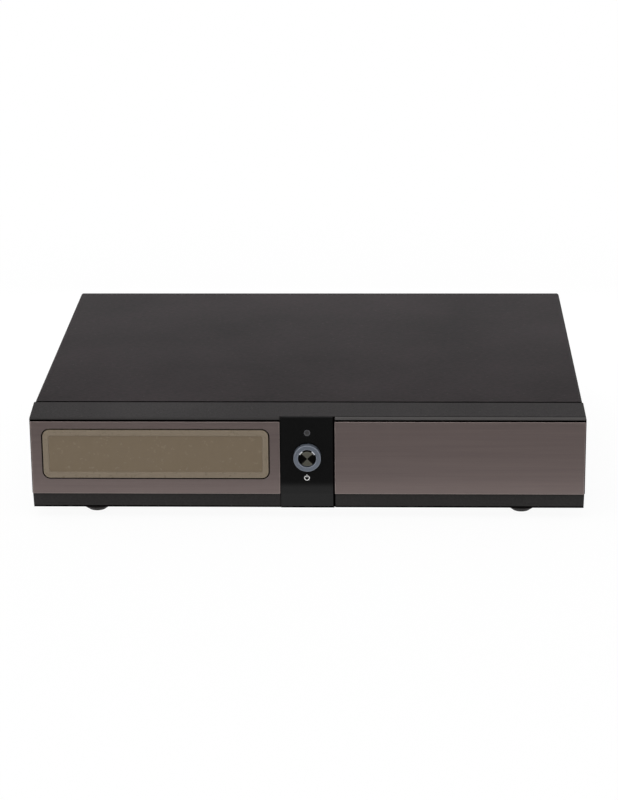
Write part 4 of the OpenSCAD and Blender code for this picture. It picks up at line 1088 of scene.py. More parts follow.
class Zone:
    """Tests for the faces of the front that are painted apart, most with painted shade or a painted
    highlight.
    """

    # Height of the painted shadow line along the foot.
    line: ClassVar[float] = 1.1 * MM
    shade_border_w: ClassVar[float] = 0.8 * MM
    gap_reach: ClassVar[float] = 0.6 * MM
    seam_d: ClassVar[float] = 1.9 * MM
    edge_w: ClassVar[float] = 0.5 * MM
    nose_up: ClassVar[float] = 0.3 * MM
    lip_up: ClassVar[float] = 0.5 * MM
    touch: ClassVar[float] = 0.05 * MM
    near: ClassVar[float] = 0.1 * MM
    flat: ClassVar[float] = 0.97
    side_on: ClassVar[float] = 0.3
    strip_front: ClassVar[float] = 0.5
    nose_front: ClassVar[float] = 0.4
    highlight_front: ClassVar[float] = 0.2
    toe_back: ClassVar[float] = 0.2

    @classmethod
    def groove(cls, middle: Vector, normal: Vector) -> bool:
        """Say whether a face lies behind the plates, in the gaps round them, where shade is painted."""
        return normal.y < -ALONG and abs(middle.y - Level.PLATE_BACK) < cls.touch

    @classmethod
    def beside_panel(cls, middle: Vector, normal: Vector) -> bool:
        """Say whether a face is a side of the gap next to the gloss panel, or the border at the door, where
        shade is painted to make the gap look wider.
        """
        if middle.x < 0 and middle.z < Level.PLATE_LOW:
            return False
        in_gap = abs(normal.x) > cls.side_on and abs(abs(middle.x) - Level.PANEL_SIDE) < cls.gap_reach
        return in_gap or Level.PANEL_SIDE - cls.shade_border_w < middle.x < Level.PANEL_SIDE

    @classmethod
    def strip(cls, middle: Vector, normal: Vector) -> bool:
        """Say whether a face belongs to the strip under the plates, which faces down and gets darker painted
        shade.
        """
        return normal.y < -cls.strip_front and middle.z < Level.PLATE_LOW - cls.touch

    @classmethod
    def toe(cls, middle: Vector, normal: Vector) -> bool:
        """Say whether a face belongs to the painted shadow line along the lower edge."""
        return normal.y < cls.toe_back and middle.z < Level.TOE + cls.line

    @classmethod
    def nose(cls, middle: Vector, normal: Vector) -> bool:
        """Say whether a face belongs to the front of the rolled lip, which gets a lighter painted highlight.
        """
        return normal.y < -cls.nose_front and middle.z > Level.PLATE_TOP + cls.nose_up

    @classmethod
    def door_lip(cls, middle: Vector, normal: Vector) -> bool:
        """Say whether a face belongs to the front or the top of the door's lip, which gets a paler painted
        highlight.
        """
        return middle.z > Level.PLATE_TOP + cls.lip_up and normal.y - normal.z < 0

    @classmethod
    def cover_edge(cls, middle: Vector, normal: Vector) -> bool:
        """Say whether a face is the cover's cut front edge, or stands beside it, where shade is painted."""
        return normal.y < -ALONG and abs(middle.y - Level.COVER_FRONT) < cls.near

    @classmethod
    def seam(cls, middle: Vector, normal: Vector) -> bool:
        """Say whether a face lies in the seam between the fascia and the cover, where shade is painted."""
        floor = normal.z > ALONG and middle.y > Level.COVER_FRONT - cls.seam_d
        return floor or cls.cover_edge(middle, normal)

    @classmethod
    def crease(cls, middle: Vector, way: Vector) -> bool:
        """Say whether an edge is the gloss panel's crease above the strip."""
        return abs(way.x) > ALONG and abs(middle.z - Level.PLATE_LOW) < cls.near

    @classmethod
    def border(cls, middle: Vector, node: str) -> bool:
        """Say whether a place lies on the outer border of a plate."""
        low, high = box(node)
        return min(abs(middle[i] - side[i]) for i in (0, 2) for side in (low, high)) < cls.edge_w

    @classmethod
    def edge(cls, middle: Vector, normal: Vector) -> bool:
        """Say whether a face is part of a plate's rounded front edge, which gets a painted highlight."""
        plates = ("display_plate", "door_plate")
        return -cls.flat < normal.y < -cls.highlight_front and any(cls.border(middle, node) for node in plates)

    @classmethod
    def opening(cls, middle: Vector, normal: Vector) -> bool:
        """Say whether a face belongs to the edge of the window's opening, where shade is painted."""
        return abs(normal.y) < cls.flat and not cls.border(middle, "display_plate")


@dataclass(frozen=True)
class Tongue:
    """The plastic tongue inside a flat socket, with some play round it."""

    half_w: float
    half_h: float
    rise: float
    inset: float = 0.9 * MM

    def within(self, node: str, outwards: int) -> Test:
        """Make the test for the faces of the tongue.

        Args:
            node: the socket.
            outwards: 1 where the socket faces the back, -1 where it faces the front.

        Returns:
            The test.
        """
        low, high = box(node)
        mouth = high.y if outwards > 0 else low.y

        def holds(middle: Vector, _: Vector) -> bool:
            """Say whether a face belongs to the tongue."""
            return (abs(middle.x - (low.x + high.x) / 2) < self.half_w
                    and (mouth - middle.y) * outwards > self.inset
                    and abs(middle.z - low.z - self.rise) < self.half_h)

        return holds


USB_TONGUE = Tongue(5.6 * MM, 1.0 * MM, 3.9 * MM)


class Assembly:
    """A group of pieces that belong together."""

    def coats(self) -> list[Coat]:
        """List the solids that are dressed as they are."""
        return []

    def hand_made(self) -> list[bpy.types.Object]:
        """Model the pieces that need more than a coat."""
        return []

    def build(self) -> list[bpy.types.Object]:
        """Make every piece of the group.

        Returns:
            The finished objects.
        """
        made = [coat.apply() for coat in self.coats()] + self.hand_made()
        LOG.info("%s: %s", type(self).__name__, ", ".join(obj.name for obj in made))
        return made


@dataclass
class Screws:
    """The screws of one node, whose heads get a cross recess."""

    node: str
    finish: Finish
    slot: str
    head_edge: float = 0.2 * MM
    arm: float = 3.0 * MM
    width: float = 0.75 * MM
    depth: float = 0.7 * MM
    round_play: float = 0.1 * MM

    def build(self) -> bpy.types.Object:
        """Round the heads and cut a cross into each.

        Returns:
            The finished screws.
        """
        piece = Workpiece.copied(self.node).soften(self.head_edge, 3)
        arms = []
        for low, high in piece.islands():
            size, spot = high - low, (low + high) / 2
            along = 0 if abs(size.y - size.z) < self.round_play else 1
            outwards = along == 1 or spot.x > 0
            spot[along] = high[along] if outwards else low[along]
            for wide in {0, 1, 2} - {along}:
                half = Vector((self.width / 2,) * 3)
                half[wide], half[along] = self.arm / 2, self.depth
                arms.append(Workpiece.block("recess", spot - half, spot + half))
        piece.carved(arms[0].joined(arms[1:]))
        return piece.settle(self.finish, self.slot, "case", (self.node,))


@dataclass
class SteelCase(Assembly):
    """The folded cover, the tray, the rear panel, their screws and the feet."""

    fold: float = 0.2 * MM
    fold_least: float = 15.0 * MM
    cut: float = 0.12 * MM
    tread: float = 0.5 * MM

    def coats(self) -> list[Coat]:
        """List the solids that are dressed as they are."""
        # The cover's front edge gets painted shade for the seam under it.
        return [Coat("top_cover", Rack.COVER, self.fold, paint=((Rack.PAINTED_SHADE, Zone.cover_edge),),
                     least=self.fold_least),
                Coat("chassis_tray", Rack.SHEET, self.cut),
                Coat("rear_panel", Rack.SHEET, self.cut),
                Coat("rubber_feet", Rack.RUBBER, self.tread, 3)]

    def hand_made(self) -> list[bpy.types.Object]:
        """Cut the screws' recesses."""
        return [Screws("cover_screws", Rack.BLACK, "cover_steel").build(),
                Screws("fan_screws", Rack.NICKEL, "plain_steel").build()]


@dataclass
class Fascia(Assembly):
    """The moulded front with its plate, display window, gloss panel and power button."""

    mould: float = 0.2 * MM
    mould_least: float = 6.0 * MM
    panel_edge: float = 0.25 * MM
    plate_edge: float = 0.2 * MM
    web_w: float = 0.34 * MM
    web_run: Pair = (3.2 * MM, 9.0 * MM)
    web_lift: float = 0.1 * MM
    web_edge: float = 0.05 * MM
    window_edge: float = 0.3 * MM
    window_sunk: float = 0.5 * MM
    window_play: float = 0.01 * MM
    pane_flat: float = 0.99
    # Where the painted glints sit on the button's rim.
    glint_r: float = 4.95 * MM
    glint_w: float = 2.6 * MM
    glint_h: float = 0.95 * MM
    glint_run: Pair = (0.02 * MM, 0.52 * MM)
    glint_edge: float = 0.12 * MM
    glint_turn: float = 49.0
    ring_bore: float = 5.6 * MM
    ring_round: float = 0.5 * MM
    ring_edge: Pair = (-0.9, -0.3)
    button_r: float = 5.4 * MM
    button_round: float = 0.8 * MM
    button_dish: float = 0.5 * MM
    button_shank: float = 8.2 * MM
    button_colour: Colour = (0.34, 0.33, 0.27)
    highlight_drop: float = 0.55 * MM
    flange_t: float = 1.0 * MM
    plunger_r: float = 1.5 * MM
    eye_r: float = 1.95 * MM
    eye_steps: int = 48
    eye_rim_w: float = 0.7 * MM
    eye_rim_t: float = 0.4 * MM
    eye_rim_rise: float = 0.16 * MM
    eye_rim_sink: float = 1.0 * MM
    dome_gap: float = 0.02 * MM
    dome_sink: float = 0.25 * MM
    dome_rise: float = 0.3 * MM
    sign_height: float = 3.85 * MM
    sign_z: float = 26.7 * MM
    sign_left: float = 0.3 * MM
    sign_gap: float = 32.0
    sign_sides: int = 60
    sign_r: float = 0.44
    sign_w: float = 0.13
    sign_drop: float = 0.06
    sign_hole: float = 0.4
    sign_bar: Pair = (0.25, 1.3)
    sign_round: float = 0.3
    ink: float = 0.04 * MM
    ink_proud: float = 0.02 * MM

    def coats(self) -> list[Coat]:
        """List the solids that are dressed as they are."""
        # Painted highlight on the plate's outer edges, painted shade on the edge of the window opening.
        return [Coat("display_plate", Rack.BRONZE, self.plate_edge,
                     paint=((Rack.PLATE_HIGHLIGHT, Zone.edge), (Rack.PAINTED_SHADE, Zone.opening)))]

    def hand_made(self) -> list[bpy.types.Object]:
        """Model the pieces that need more than a coat."""
        return [self.bezel(), self.panel(), self.shade_web(), self.window(), self.ring(), self.button(),
                *self.lights(), *self.eye(), self.sign()]

    def bezel(self) -> bpy.types.Object:
        """Dress the moulding, with painted shade in the grooves behind the plates, in the seam under the
        cover and on the strip, a lighter painted highlight on the lip's front, and a painted shadow line
        along its foot.
        """
        piece = Workpiece.copied("front_bezel").soften(self.mould, split=True, least=self.mould_least)
        piece.scored(Level.TOE + Zone.line).coated(Rack.FASCIA)
        piece.painted(Rack.NOSE_LIGHT, Zone.nose).painted(Rack.STRIP_SHADE, Zone.strip)
        piece.painted(Rack.PAINTED_SHADE, either(Zone.groove, Zone.seam, Zone.toe))
        return piece.settle(Rack.FASCIA, nodes=("front_bezel",))

    def panel(self) -> bpy.types.Object:
        """Dress the gloss panel, which keeps its crease above the strip, with painted shade beside it at the
        gaps and a painted shadow line along its foot.
        """
        piece = Workpiece.copied("centre_panel").soften(self.panel_edge, 3).scored(Level.TOE + Zone.line)
        piece.scored(Level.PANEL_SIDE - Zone.shade_border_w, Axis.X)
        piece.coated(Rack.PANEL).painted(Rack.PAINTED_SHADE, either(Zone.beside_panel, Zone.toe))
        return piece.creased(Zone.crease).settle(Rack.PANEL, nodes=("centre_panel",))

    def shade_web(self) -> bpy.types.Object:
        """Close the gap between the panel and the door from behind, below the plates, with a black block that
        stands in for the shade in the gap.
        """
        side, (near, far) = Level.PANEL_SIDE, (Level.PANEL_FRONT + run for run in self.web_run)
        piece = Workpiece.block("gap_web", (side, near, Level.TOE + self.web_lift),
                                (side + self.web_w, far, Level.PLATE_LOW))
        return piece.soften(self.web_edge, 1).settle(Rack.PAINTED_SHADE, "fascia_plastic")

    def window(self) -> bpy.types.Object:
        """Dress the display window: a raised rim round a sunk pane of a darker tint."""
        pane_y = box("display_window")[0].y + self.window_sunk
        piece = Workpiece.copied("display_window").soften(self.window_edge, 3).coated(Rack.RIM)
        piece.painted(Rack.PANE, lambda middle, normal: normal.y < -self.pane_flat
                      and abs(middle.y - pane_y) < self.window_play)
        return piece.settle(Rack.RIM, "window_acrylic", nodes=("display_window",))

    def ring(self) -> bpy.types.Object:
        """Turn the satin ring round the button, with a painted highlight on its rounded edges."""
        low, high = box("power_button_ring")
        outer, inner, r = (high.x - low.x) / 2, self.ring_bore, self.ring_round
        outline = [(outer, high.y)]
        outline += [(outer - r + r * math.cos(a), low.y + r - r * math.sin(a)) for a in quarter()]
        outline += [(inner + r - r * math.sin(a), low.y + r - r * math.cos(a)) for a in quarter()]
        outline += [(inner, high.y)]
        hub = spindle("power_button_ring")
        piece = Workpiece.turned("power_button_ring_dressed", outline, hub, closed=True)
        least, most = self.ring_edge
        piece.coated(Rack.RING).painted(Rack.RING_HIGHLIGHT, lambda _, normal: least < normal.y < most)
        return piece.settle(Rack.RING, nodes=("power_button_ring",))

    def button(self) -> bpy.types.Object:
        """Turn the dished power button with the flange and plunger behind it; its face has a painted
        highlight in two sectors and painted shade round them.
        """
        low, high = box("power_button")
        hub, radius, r = spindle("power_button"), self.button_r, self.button_round
        flange, seat = (high.x - low.x) / 2, low.y + self.button_shank
        back = seat + self.flange_t
        outline = [(0, low.y + self.button_dish)]
        outline += [(radius - r + r * math.sin(a), low.y + r - r * math.cos(a)) for a in quarter()]
        outline += [(radius, seat), (flange, seat), (flange, back), (self.plunger_r, back),
                    (self.plunger_r, high.y), (0, high.y)]
        piece = Workpiece.turned("power_button_dressed", outline, hub)
        # The finish paints the highlight and the shade, centred a little below the hub.
        finish = Spun("button_metal", self.button_colour, (hub.x, low.y, hub.z - self.highlight_drop))
        return piece.settle(finish, body="power_button", nodes=("power_button",))

    def lights(self) -> list[bpy.types.Object]:
        """Set two small white marks into the rim of the button: painted glints."""
        hub = spindle("power_button")
        hub.y = box("power_button")[0].y
        near, far = (Vector((0, run, self.glint_r)) for run in self.glint_run)
        half = Vector((self.glint_w / 2, 0, self.glint_h / 2))
        made = []
        for name, side in (("button_light_left", -1), ("button_light_right", 1)):
            piece = Workpiece.block(name, hub + near - half, hub + far + half).soften(self.glint_edge)
            piece.swung(side * math.radians(self.glint_turn), Axis.Y, hub)
            made.append(piece.settle(Rack.GLINT, "button_metal", "power_button"))
        return made

    def eye(self) -> list[bpy.types.Object]:
        """Turn the remote-control eye: a dark dome in a fine rim."""
        hub, back = spindle("remote_eye"), box("remote_eye")[1].y
        front, outer = Level.PANEL_FRONT, self.eye_r
        inner, crest, deep = outer - self.eye_rim_w, front - self.eye_rim_rise, front + self.eye_rim_sink
        step = inner + self.eye_rim_t
        rim = [(outer, front), (outer, front - 0.1 * MM), (outer - 0.15 * MM, crest),
               (inner + 0.1 * MM, crest), (inner, front - 0.05 * MM), (inner, deep), (step, deep),
               (step, front)]
        bulge, seat = inner - self.dome_gap, front + self.dome_sink
        dome = [(bulge * math.sin(a), seat - self.dome_rise * math.cos(a)) for a in quarter()]
        dome += [(bulge, back), (0, back)]
        rim_piece = Workpiece.turned("remote_eye_rim", rim, hub, self.eye_steps, True)
        dome_piece = Workpiece.turned("remote_eye_dressed", dome, hub, self.eye_steps)
        return [rim_piece.settle(Rack.EYE_RIM, "eye_acrylic"),
                dome_piece.settle(Rack.EYE, nodes=("remote_eye",))]

    def sign(self) -> bpy.types.Object:
        """Cut the power sign: a ring that is open at the top, and a bar in the gap."""
        front, height = Level.PANEL_FRONT - self.ink_proud, self.sign_height
        outer, width = height * self.sign_r, height * self.sign_w
        middle = Vector((centre("centre_panel").x - self.sign_left, front,
                         self.sign_z - height * self.sign_drop))
        gap = math.radians(self.sign_gap)

        def in_gap(point: Vector, _: Vector) -> bool:
            """Say whether a face lies in the opening or in the ring's hole."""
            off = point - middle
            in_hole = Vector((off.x, off.z)).length < outer * self.sign_hole
            return in_hole or (off.z > 0 and abs(math.atan2(off.x, off.z)) < gap)

        piece = Workpiece.disc("power_sign", middle, outer, self.sign_sides)
        with piece.edit(Pick.FACE, whole=True):
            bpy.ops.mesh.inset(thickness=width)
            piece.select(Pick.FACE, in_gap)
            bpy.ops.mesh.delete(type="FACE")
        piece.thickened(self.ink)
        foot, head = (middle.z + outer * share for share in self.sign_bar)
        bar = Workpiece.block("power_sign_bar", (middle.x - width / 2, front, foot),
                              (middle.x + width / 2, front + self.ink, head))
        return piece.joined([bar.cornered(width * self.sign_round)]).settle(Rack.INK, "gloss_panel")


@dataclass
class FlapDoor(Assembly):
    """The door of the fascia with its metal plate, hinge pins and catch."""

    mould: float = 0.15 * MM
    plate_edge: float = 0.2 * MM
    pin_edge: float = 0.1 * MM
    magnet_edge: float = 0.2 * MM

    def coats(self) -> list[Coat]:
        """List the solids that are dressed as they are."""
        return [Coat("door_plate", Rack.BRONZE, self.plate_edge, paint=((Rack.PLATE_HIGHLIGHT, Zone.edge),)),
                Coat("door_hinge_pins", Rack.NICKEL, self.pin_edge, slot="plain_steel"),
                Coat("door_strike", Rack.SHEET, self.pin_edge),
                Coat("door_magnet", Rack.FERRITE, self.magnet_edge, slot="black_plastic")]

    def hand_made(self) -> list[bpy.types.Object]:
        """Dress the shell, with a paler painted highlight on its upper lip, painted shade on its strip and in
        its gaps, and a painted shadow line along its foot.
        """
        piece = Workpiece.copied("door_shell").soften(self.mould, split=True).scored(Level.TOE + Zone.line)
        piece.coated(Rack.FASCIA).painted(Rack.STRIP_SHADE, Zone.strip).painted(Rack.LIP_LIGHT, Zone.door_lip)
        piece.painted(Rack.PAINTED_SHADE, either(Zone.groove, Zone.beside_panel, Zone.toe))
        return [piece.settle(Rack.FASCIA, body="door", nodes=("door_shell",))]


@dataclass
class ControlPanel(Assembly):
    """What lies behind the door: the keys, the card slots with their eject buttons, and a socket."""

    mould: float = 0.25 * MM
    metal_edge: float = 0.1 * MM
    key_edge: float = 0.4 * MM
    sign: float = 2.6 * MM
    stroke: float = 0.45 * MM
    menu_step: float = 0.9 * MM
    arrow_share: float = 0.55
    bar_round: float = 0.4
    ink: float = 0.05 * MM
    ink_proud: float = 0.02 * MM
    keys: tuple[str, ...] = ("menu_key", "exit_key", "ok_key", "channel_up_key", "channel_down_key",
                             "volume_up_key", "volume_down_key", "upper_eject_button", "lower_eject_button")

    def coats(self) -> list[Coat]:
        """List the solids that are dressed as they are."""
        return [Coat("control_panel", Rack.CONTROL, self.mould),
                Coat("card_cage", Rack.NICKEL, self.metal_edge),
                Coat("front_usb_socket", Rack.NICKEL, self.metal_edge,
                     paint=((Rack.TONGUE, USB_TONGUE.within("front_usb_socket", -1)),)),
                *(Coat(name, Rack.KEY, self.key_edge, 3) for name in self.keys)]

    def hand_made(self) -> list[bpy.types.Object]:
        """Print a plain sign on each key."""
        return [self.printed(node, shapes(self.face(node))) for node, shapes in (
            ("channel_up_key", lambda spot: [self.arrow(spot, 0)]),
            ("channel_down_key", lambda spot: [self.arrow(spot, 180)]),
            ("exit_key", lambda spot: [self.arrow(spot, 90)]),
            ("volume_up_key", lambda spot: [self.bar(spot), self.bar(spot, upright=True)]),
            ("volume_down_key", lambda spot: [self.bar(spot)]),
            ("menu_key", lambda spot: [self.bar(spot + Vector((0, 0, row * self.menu_step)))
                                       for row in (-1, 0, 1)]),
            ("ok_key", lambda spot: [Workpiece.hoop("dot", spot, self.sign / 2, self.stroke, self.ink)]))]

    def face(self, node: str) -> Vector:
        """Give the middle of a key's front, a hair in front of it."""
        spot = centre(node)
        spot.y = box(node)[0].y - self.ink_proud
        return spot

    def bar(self, spot: Vector, upright: bool = False) -> Workpiece:
        """Make a bar with rounded ends.

        Args:
            spot: its middle.
            upright: whether it stands on end.

        Returns:
            The bar on the bench.
        """
        width, height = (self.stroke, self.sign) if upright else (self.sign, self.stroke)
        half = Vector((width / 2, 0, height / 2))
        piece = Workpiece.block("bar", spot - half, spot + half + Vector((0, self.ink, 0)))
        return piece.cornered(self.stroke * self.bar_round)

    def arrow(self, spot: Vector, turn: float) -> Workpiece:
        """Make a filled arrowhead.

        Args:
            spot: its middle.
            turn: degrees from pointing up.

        Returns:
            The arrowhead on the bench.
        """
        piece = Workpiece.disc("arrow", spot, self.sign * self.arrow_share, 3)
        return piece.thickened(self.ink).swung(math.radians(turn), Axis.Y, spot)

    @staticmethod
    def printed(node: str, shapes: Sequence[Workpiece]) -> bpy.types.Object:
        """Put a sign's shapes together on its key.

        Args:
            node: the key.
            shapes: what the sign is made of.

        Returns:
            The finished sign.
        """
        piece = shapes[0].joined(shapes[1:])
        piece.obj.name = piece.obj.data.name = f"{node}_sign"
        return piece.settle(Rack.INK, "key_plastic", body_of(node))


@dataclass
class RearSockets(Assembly):
    """The sockets on the back, the mains inlet and the mains switch."""

    edge: float = 0.15 * MM
    rocker_edge: float = 0.3 * MM
    tuners: tuple[str, ...] = ("tuner_left", "tuner_right")
    aerial_r: float = 4.76 * MM
    aerial_rise: Pair = (10 * MM, 30 * MM)
    aerial_core: float = 3.3 * MM
    bore_deep: float = 0.9 * MM
    bore_run: float = 2.0 * MM
    nut: float = 2.5 * MM
    thread: float = 0.9 * MM
    thread_ends: Pair = (0.5 * MM, 0.6 * MM)
    thread_root: float = 0.06 * MM
    thread_foot: float = 0.02 * MM
    thread_crest: float = 0.16 * MM
    core_gap: float = 0.03 * MM
    hdmi_half: Pair = (5.1 * MM, 0.7 * MM)
    mouth_half: float = 5.95 * MM
    mouth_rise: Pair = (1.3 * MM, 11.5 * MM)
    mouth_run: Pair = (0.2 * MM, 14.1 * MM)
    spring_count: int = 8
    spring_pitch: float = 1.02 * MM
    spring_w: float = 0.4 * MM
    spring_t: float = 0.2 * MM
    spring_run: Pair = (2.0 * MM, 11.0 * MM)
    spring_rise: float = 11.2 * MM
    spring_drop: float = 2.2 * MM
    spring_edge: float = 0.06 * MM
    spring_bend: float = 1.0 * MM
    lamp_x: float = 5.6 * MM
    lamp_rise: float = 12.3 * MM
    lamp_half: Pair = (1.3 * MM, 0.55 * MM)
    lamp_run: Pair = (0.6 * MM, 0.12 * MM)
    lamp_edge: float = 0.1 * MM
    scart_rise: Pair = (9 * MM, 26 * MM)
    scart_row: float = 2.4 * MM
    scart_row_play: float = 0.3 * MM
    scart_half: float = 19.5 * MM
    scart_deep: float = 5.0 * MM
    phono_step: Pair = (12.5 * MM, 14 * MM)
    phono_rise: float = 9 * MM
    phono_barrel: float = 4.3 * MM
    phono_ring_t: float = 2.0 * MM
    phono_ring_in: float = 4.05 * MM
    phono_ring_out: float = 6.0 * MM
    phono_ring_sunk: float = 0.5 * MM
    phono_front_play: float = 0.3 * MM
    pin_x: float = 4.3 * MM
    pin_r: float = 1.35 * MM
    pin_run: float = 12.5 * MM
    rocker_rest: float = 8.0
    rocker_slope: Pair = (1.4, 7.2)
    rocker_pivot: float = 2.4 * MM
    rocker_face: float = 3.9 * MM
    sign_out: float = 3.6 * MM
    sign_half: float = 1.2 * MM
    bar_half: Pair = (0.25 * MM, 0.03 * MM)
    bar_edge: float = 0.02 * MM
    ring_stroke: float = 0.4 * MM
    ring_ink: float = 0.05 * MM

    def coats(self) -> list[Coat]:
        """List the solids that are dressed as they are."""
        low, high = box("hdmi_socket")
        hdmi_tongue = Tongue(*self.hdmi_half, (high.z - low.z) / 2)
        rings = tuple((ring, self.phono_ring(column, row)) for row in (0, 1)
                      for column, ring in enumerate(Rack.PHONO[row]))
        plain = ((Rack.NICKEL, "hdmi_socket", ((Rack.TONGUE, hdmi_tongue.within("hdmi_socket", 1)),)),
                 (Rack.NICKEL, "rear_usb_socket", ((Rack.TONGUE, USB_TONGUE.within("rear_usb_socket", 1)),)),
                 (Rack.NICKEL, "ethernet_socket", ((Rack.TONGUE, self.ethernet_mouth),)),
                 (Rack.BLACK, "scart_sockets", ((Rack.GOLD, self.scart_pin),)),
                 (Rack.BLACK, "phono_sockets", ((Rack.NICKEL, self.phono_metal), *rings)),
                 (Rack.BLACK, "mains_inlet", ((Rack.NICKEL, self.mains_pin),)),
                 (Rack.BLACK, "mains_switch_housing", ()))
        return [*(Coat(node, finish, self.edge, paint=paint) for finish, node, paint in plain),
                Coat("mains_rocker", Rack.ROCKER, self.rocker_edge, 3)]

    def ethernet_mouth(self, middle: Vector, _: Vector) -> bool:
        """Say whether a face lies inside the mouth of the network socket."""
        low, high = box("ethernet_socket")
        return (abs(middle.x - centre("ethernet_socket").x) < self.mouth_half
                and self.mouth_run[0] < high.y - middle.y < self.mouth_run[1]
                and self.mouth_rise[0] < middle.z - low.z < self.mouth_rise[1])

    def scart_pin(self, middle: Vector, normal: Vector) -> bool:
        """Say whether a face is the bottom of a contact slot."""
        up = middle.z - Level.BOARD
        in_row = any(abs(abs(up - rise) - self.scart_row) < self.scart_row_play for rise in self.scart_rise)
        return (normal.y > ALONG and in_row and middle.y < Level.REAR - self.scart_deep
                and abs(middle.x - centre("scart_sockets").x) < self.scart_half)

    def phono_reach(self, middle: Vector, column: int, row: int) -> float:
        """Measure how far a place lies from the axis of a round socket.

        Args:
            middle: the place.
            column: which of the three columns.
            row: which of the two rows.

        Returns:
            The distance.
        """
        x = centre("phono_sockets").x + (column - 1) * self.phono_step[0]
        z = Level.BOARD + self.phono_rise + row * self.phono_step[1]
        return math.hypot(middle.x - x, middle.z - z)

    def phono_metal(self, middle: Vector, _: Vector) -> bool:
        """Say whether a face belongs to the barrel of a round socket."""
        if middle.y < Level.REAR + self.phono_ring_t + Zone.near:
            return False
        return any(self.phono_reach(middle, column, row) < self.phono_barrel
                   for column in range(3) for row in (0, 1))

    def phono_ring(self, column: int, row: int) -> Test:
        """Make the test for the coloured ring of one round socket.

        Args:
            column: which of the three columns.
            row: which of the two rows.

        Returns:
            The test.
        """
        def on_ring(middle: Vector, normal: Vector) -> bool:
            """Say whether a face belongs to the ring's rim or to its front."""
            reach, out = self.phono_reach(middle, column, row), middle.y - Level.REAR
            if reach >= self.phono_ring_out:
                return False
            rim = -self.phono_ring_sunk < out < self.phono_ring_t + Zone.touch and reach > self.phono_ring_in
            return rim or (normal.y > ALONG and abs(out - self.phono_ring_t) < self.phono_front_play)

        return on_ring

    def mains_pin(self, middle: Vector, _: Vector) -> bool:
        """Say whether a face belongs to one of the two mains pins."""
        hub = centre("mains_inlet")
        reach = math.hypot(abs(middle.x - hub.x) - self.pin_x, middle.z - hub.z)
        return reach < self.pin_r and middle.y > box("mains_inlet")[1].y - self.pin_run

    def hand_made(self) -> list[bpy.types.Object]:
        """Model the aerial connectors, the network contacts and lamps, and the signs on the rocker."""
        made = [self.tuner(node) for node in self.tuners]
        for node in self.tuners:
            for level, spot in zip(("lower", "upper"), self.aerial_ends(node)):
                made += self.aerial(f"{node}_{level}", spot)
        return made + [self.contacts(), *self.lamps(), *self.rocker_signs()]

    def aerial_ends(self, node: str) -> list[Vector]:
        """Give the middle of the end of each connector on a tuner."""
        return [Vector((centre(node).x, box(node)[1].y, Level.BOARD + rise)) for rise in self.aerial_rise]

    def tuner(self, node: str) -> bpy.types.Object:
        """Dress a tuner, and bore out the ends of its connectors.

        Args:
            node: which tuner.

        Returns:
            The finished tuner.
        """
        piece = Workpiece.copied(node).soften(self.edge, split=True)
        deep = Vector((0, self.bore_deep, 0))
        bores = [Workpiece.disc("bore", spot - deep, self.aerial_core, 48).thickened(self.bore_run)
                 for spot in self.aerial_ends(node)]
        piece.carved(bores[0].joined(bores[1:]))
        return piece.settle(Rack.NICKEL, nodes=(node,))

    def aerial(self, name: str, spot: Vector) -> list[bpy.types.Object]:
        """Turn the thread, the insulator and the contact of a connector.

        Args:
            name: which connector.
            spot: the middle of its end.

        Returns:
            The finished pieces.
        """
        place, end = Level.REAR + self.nut + self.thread_ends[0] - spot.y, -self.thread_ends[1]
        root, foot = self.aerial_r - self.thread_root, self.aerial_r + self.thread_foot
        crest = self.aerial_r + self.thread_crest
        ridges = [(root, place)]
        while place + self.thread < end:
            ridges += [(radius, place + self.thread * share)
                       for radius, share in ((foot, 0), (crest, 0.35), (crest, 0.5), (foot, 0.85))]
            place += self.thread
        ridges.append((root, place))
        core, back = self.aerial_core - self.core_gap, -self.bore_deep
        ring = [(core, back), (core, -0.6 * MM), (core - 0.1 * MM, -0.5 * MM), (0.8 * MM, -0.5 * MM),
                (0.7 * MM, -0.6 * MM), (0.7 * MM, back)]
        pipe = [(0.68 * MM, back), (0.68 * MM, -0.55 * MM), (0.6 * MM, -0.48 * MM), (0.36 * MM, -0.48 * MM),
                (0.3 * MM, -0.55 * MM), (0.3 * MM, back)]
        return [Workpiece.turned(f"{name}_{part}", outline, spot, steps, True).settle(finish, "socket_metal")
                for part, outline, steps, finish in (("thread", ridges, 64, Rack.NICKEL),
                                                     ("insulator", ring, 48, Rack.INSULATOR),
                                                     ("contact", pipe, 32, Rack.GOLD))]

    def contacts(self) -> bpy.types.Object:
        """Bend one spring of the network socket and copy it in a row."""
        low, high = box("ethernet_socket")
        first = centre("ethernet_socket").x - (self.spring_count - 1) / 2 * self.spring_pitch
        top, (near, far) = low.z + self.spring_rise, (high.y - run for run in self.spring_run)
        spring = Workpiece.block("ethernet_contacts", (first - self.spring_w / 2, far, top - self.spring_t),
                                 (first + self.spring_w / 2, near, top))
        with spring.edit(Pick.VERTEX):
            spring.select(Pick.VERTEX, lambda spot, _: spot.y > near - self.spring_bend)
            bpy.ops.transform.translate(value=(0, 0, -self.spring_drop))
        spring.soften(self.spring_edge, 1)
        row = [spring.shifted(f"spring_{step}", (step * self.spring_pitch, 0, 0))
               for step in range(1, self.spring_count)]
        return spring.joined(row).settle(Rack.GOLD, "socket_metal")

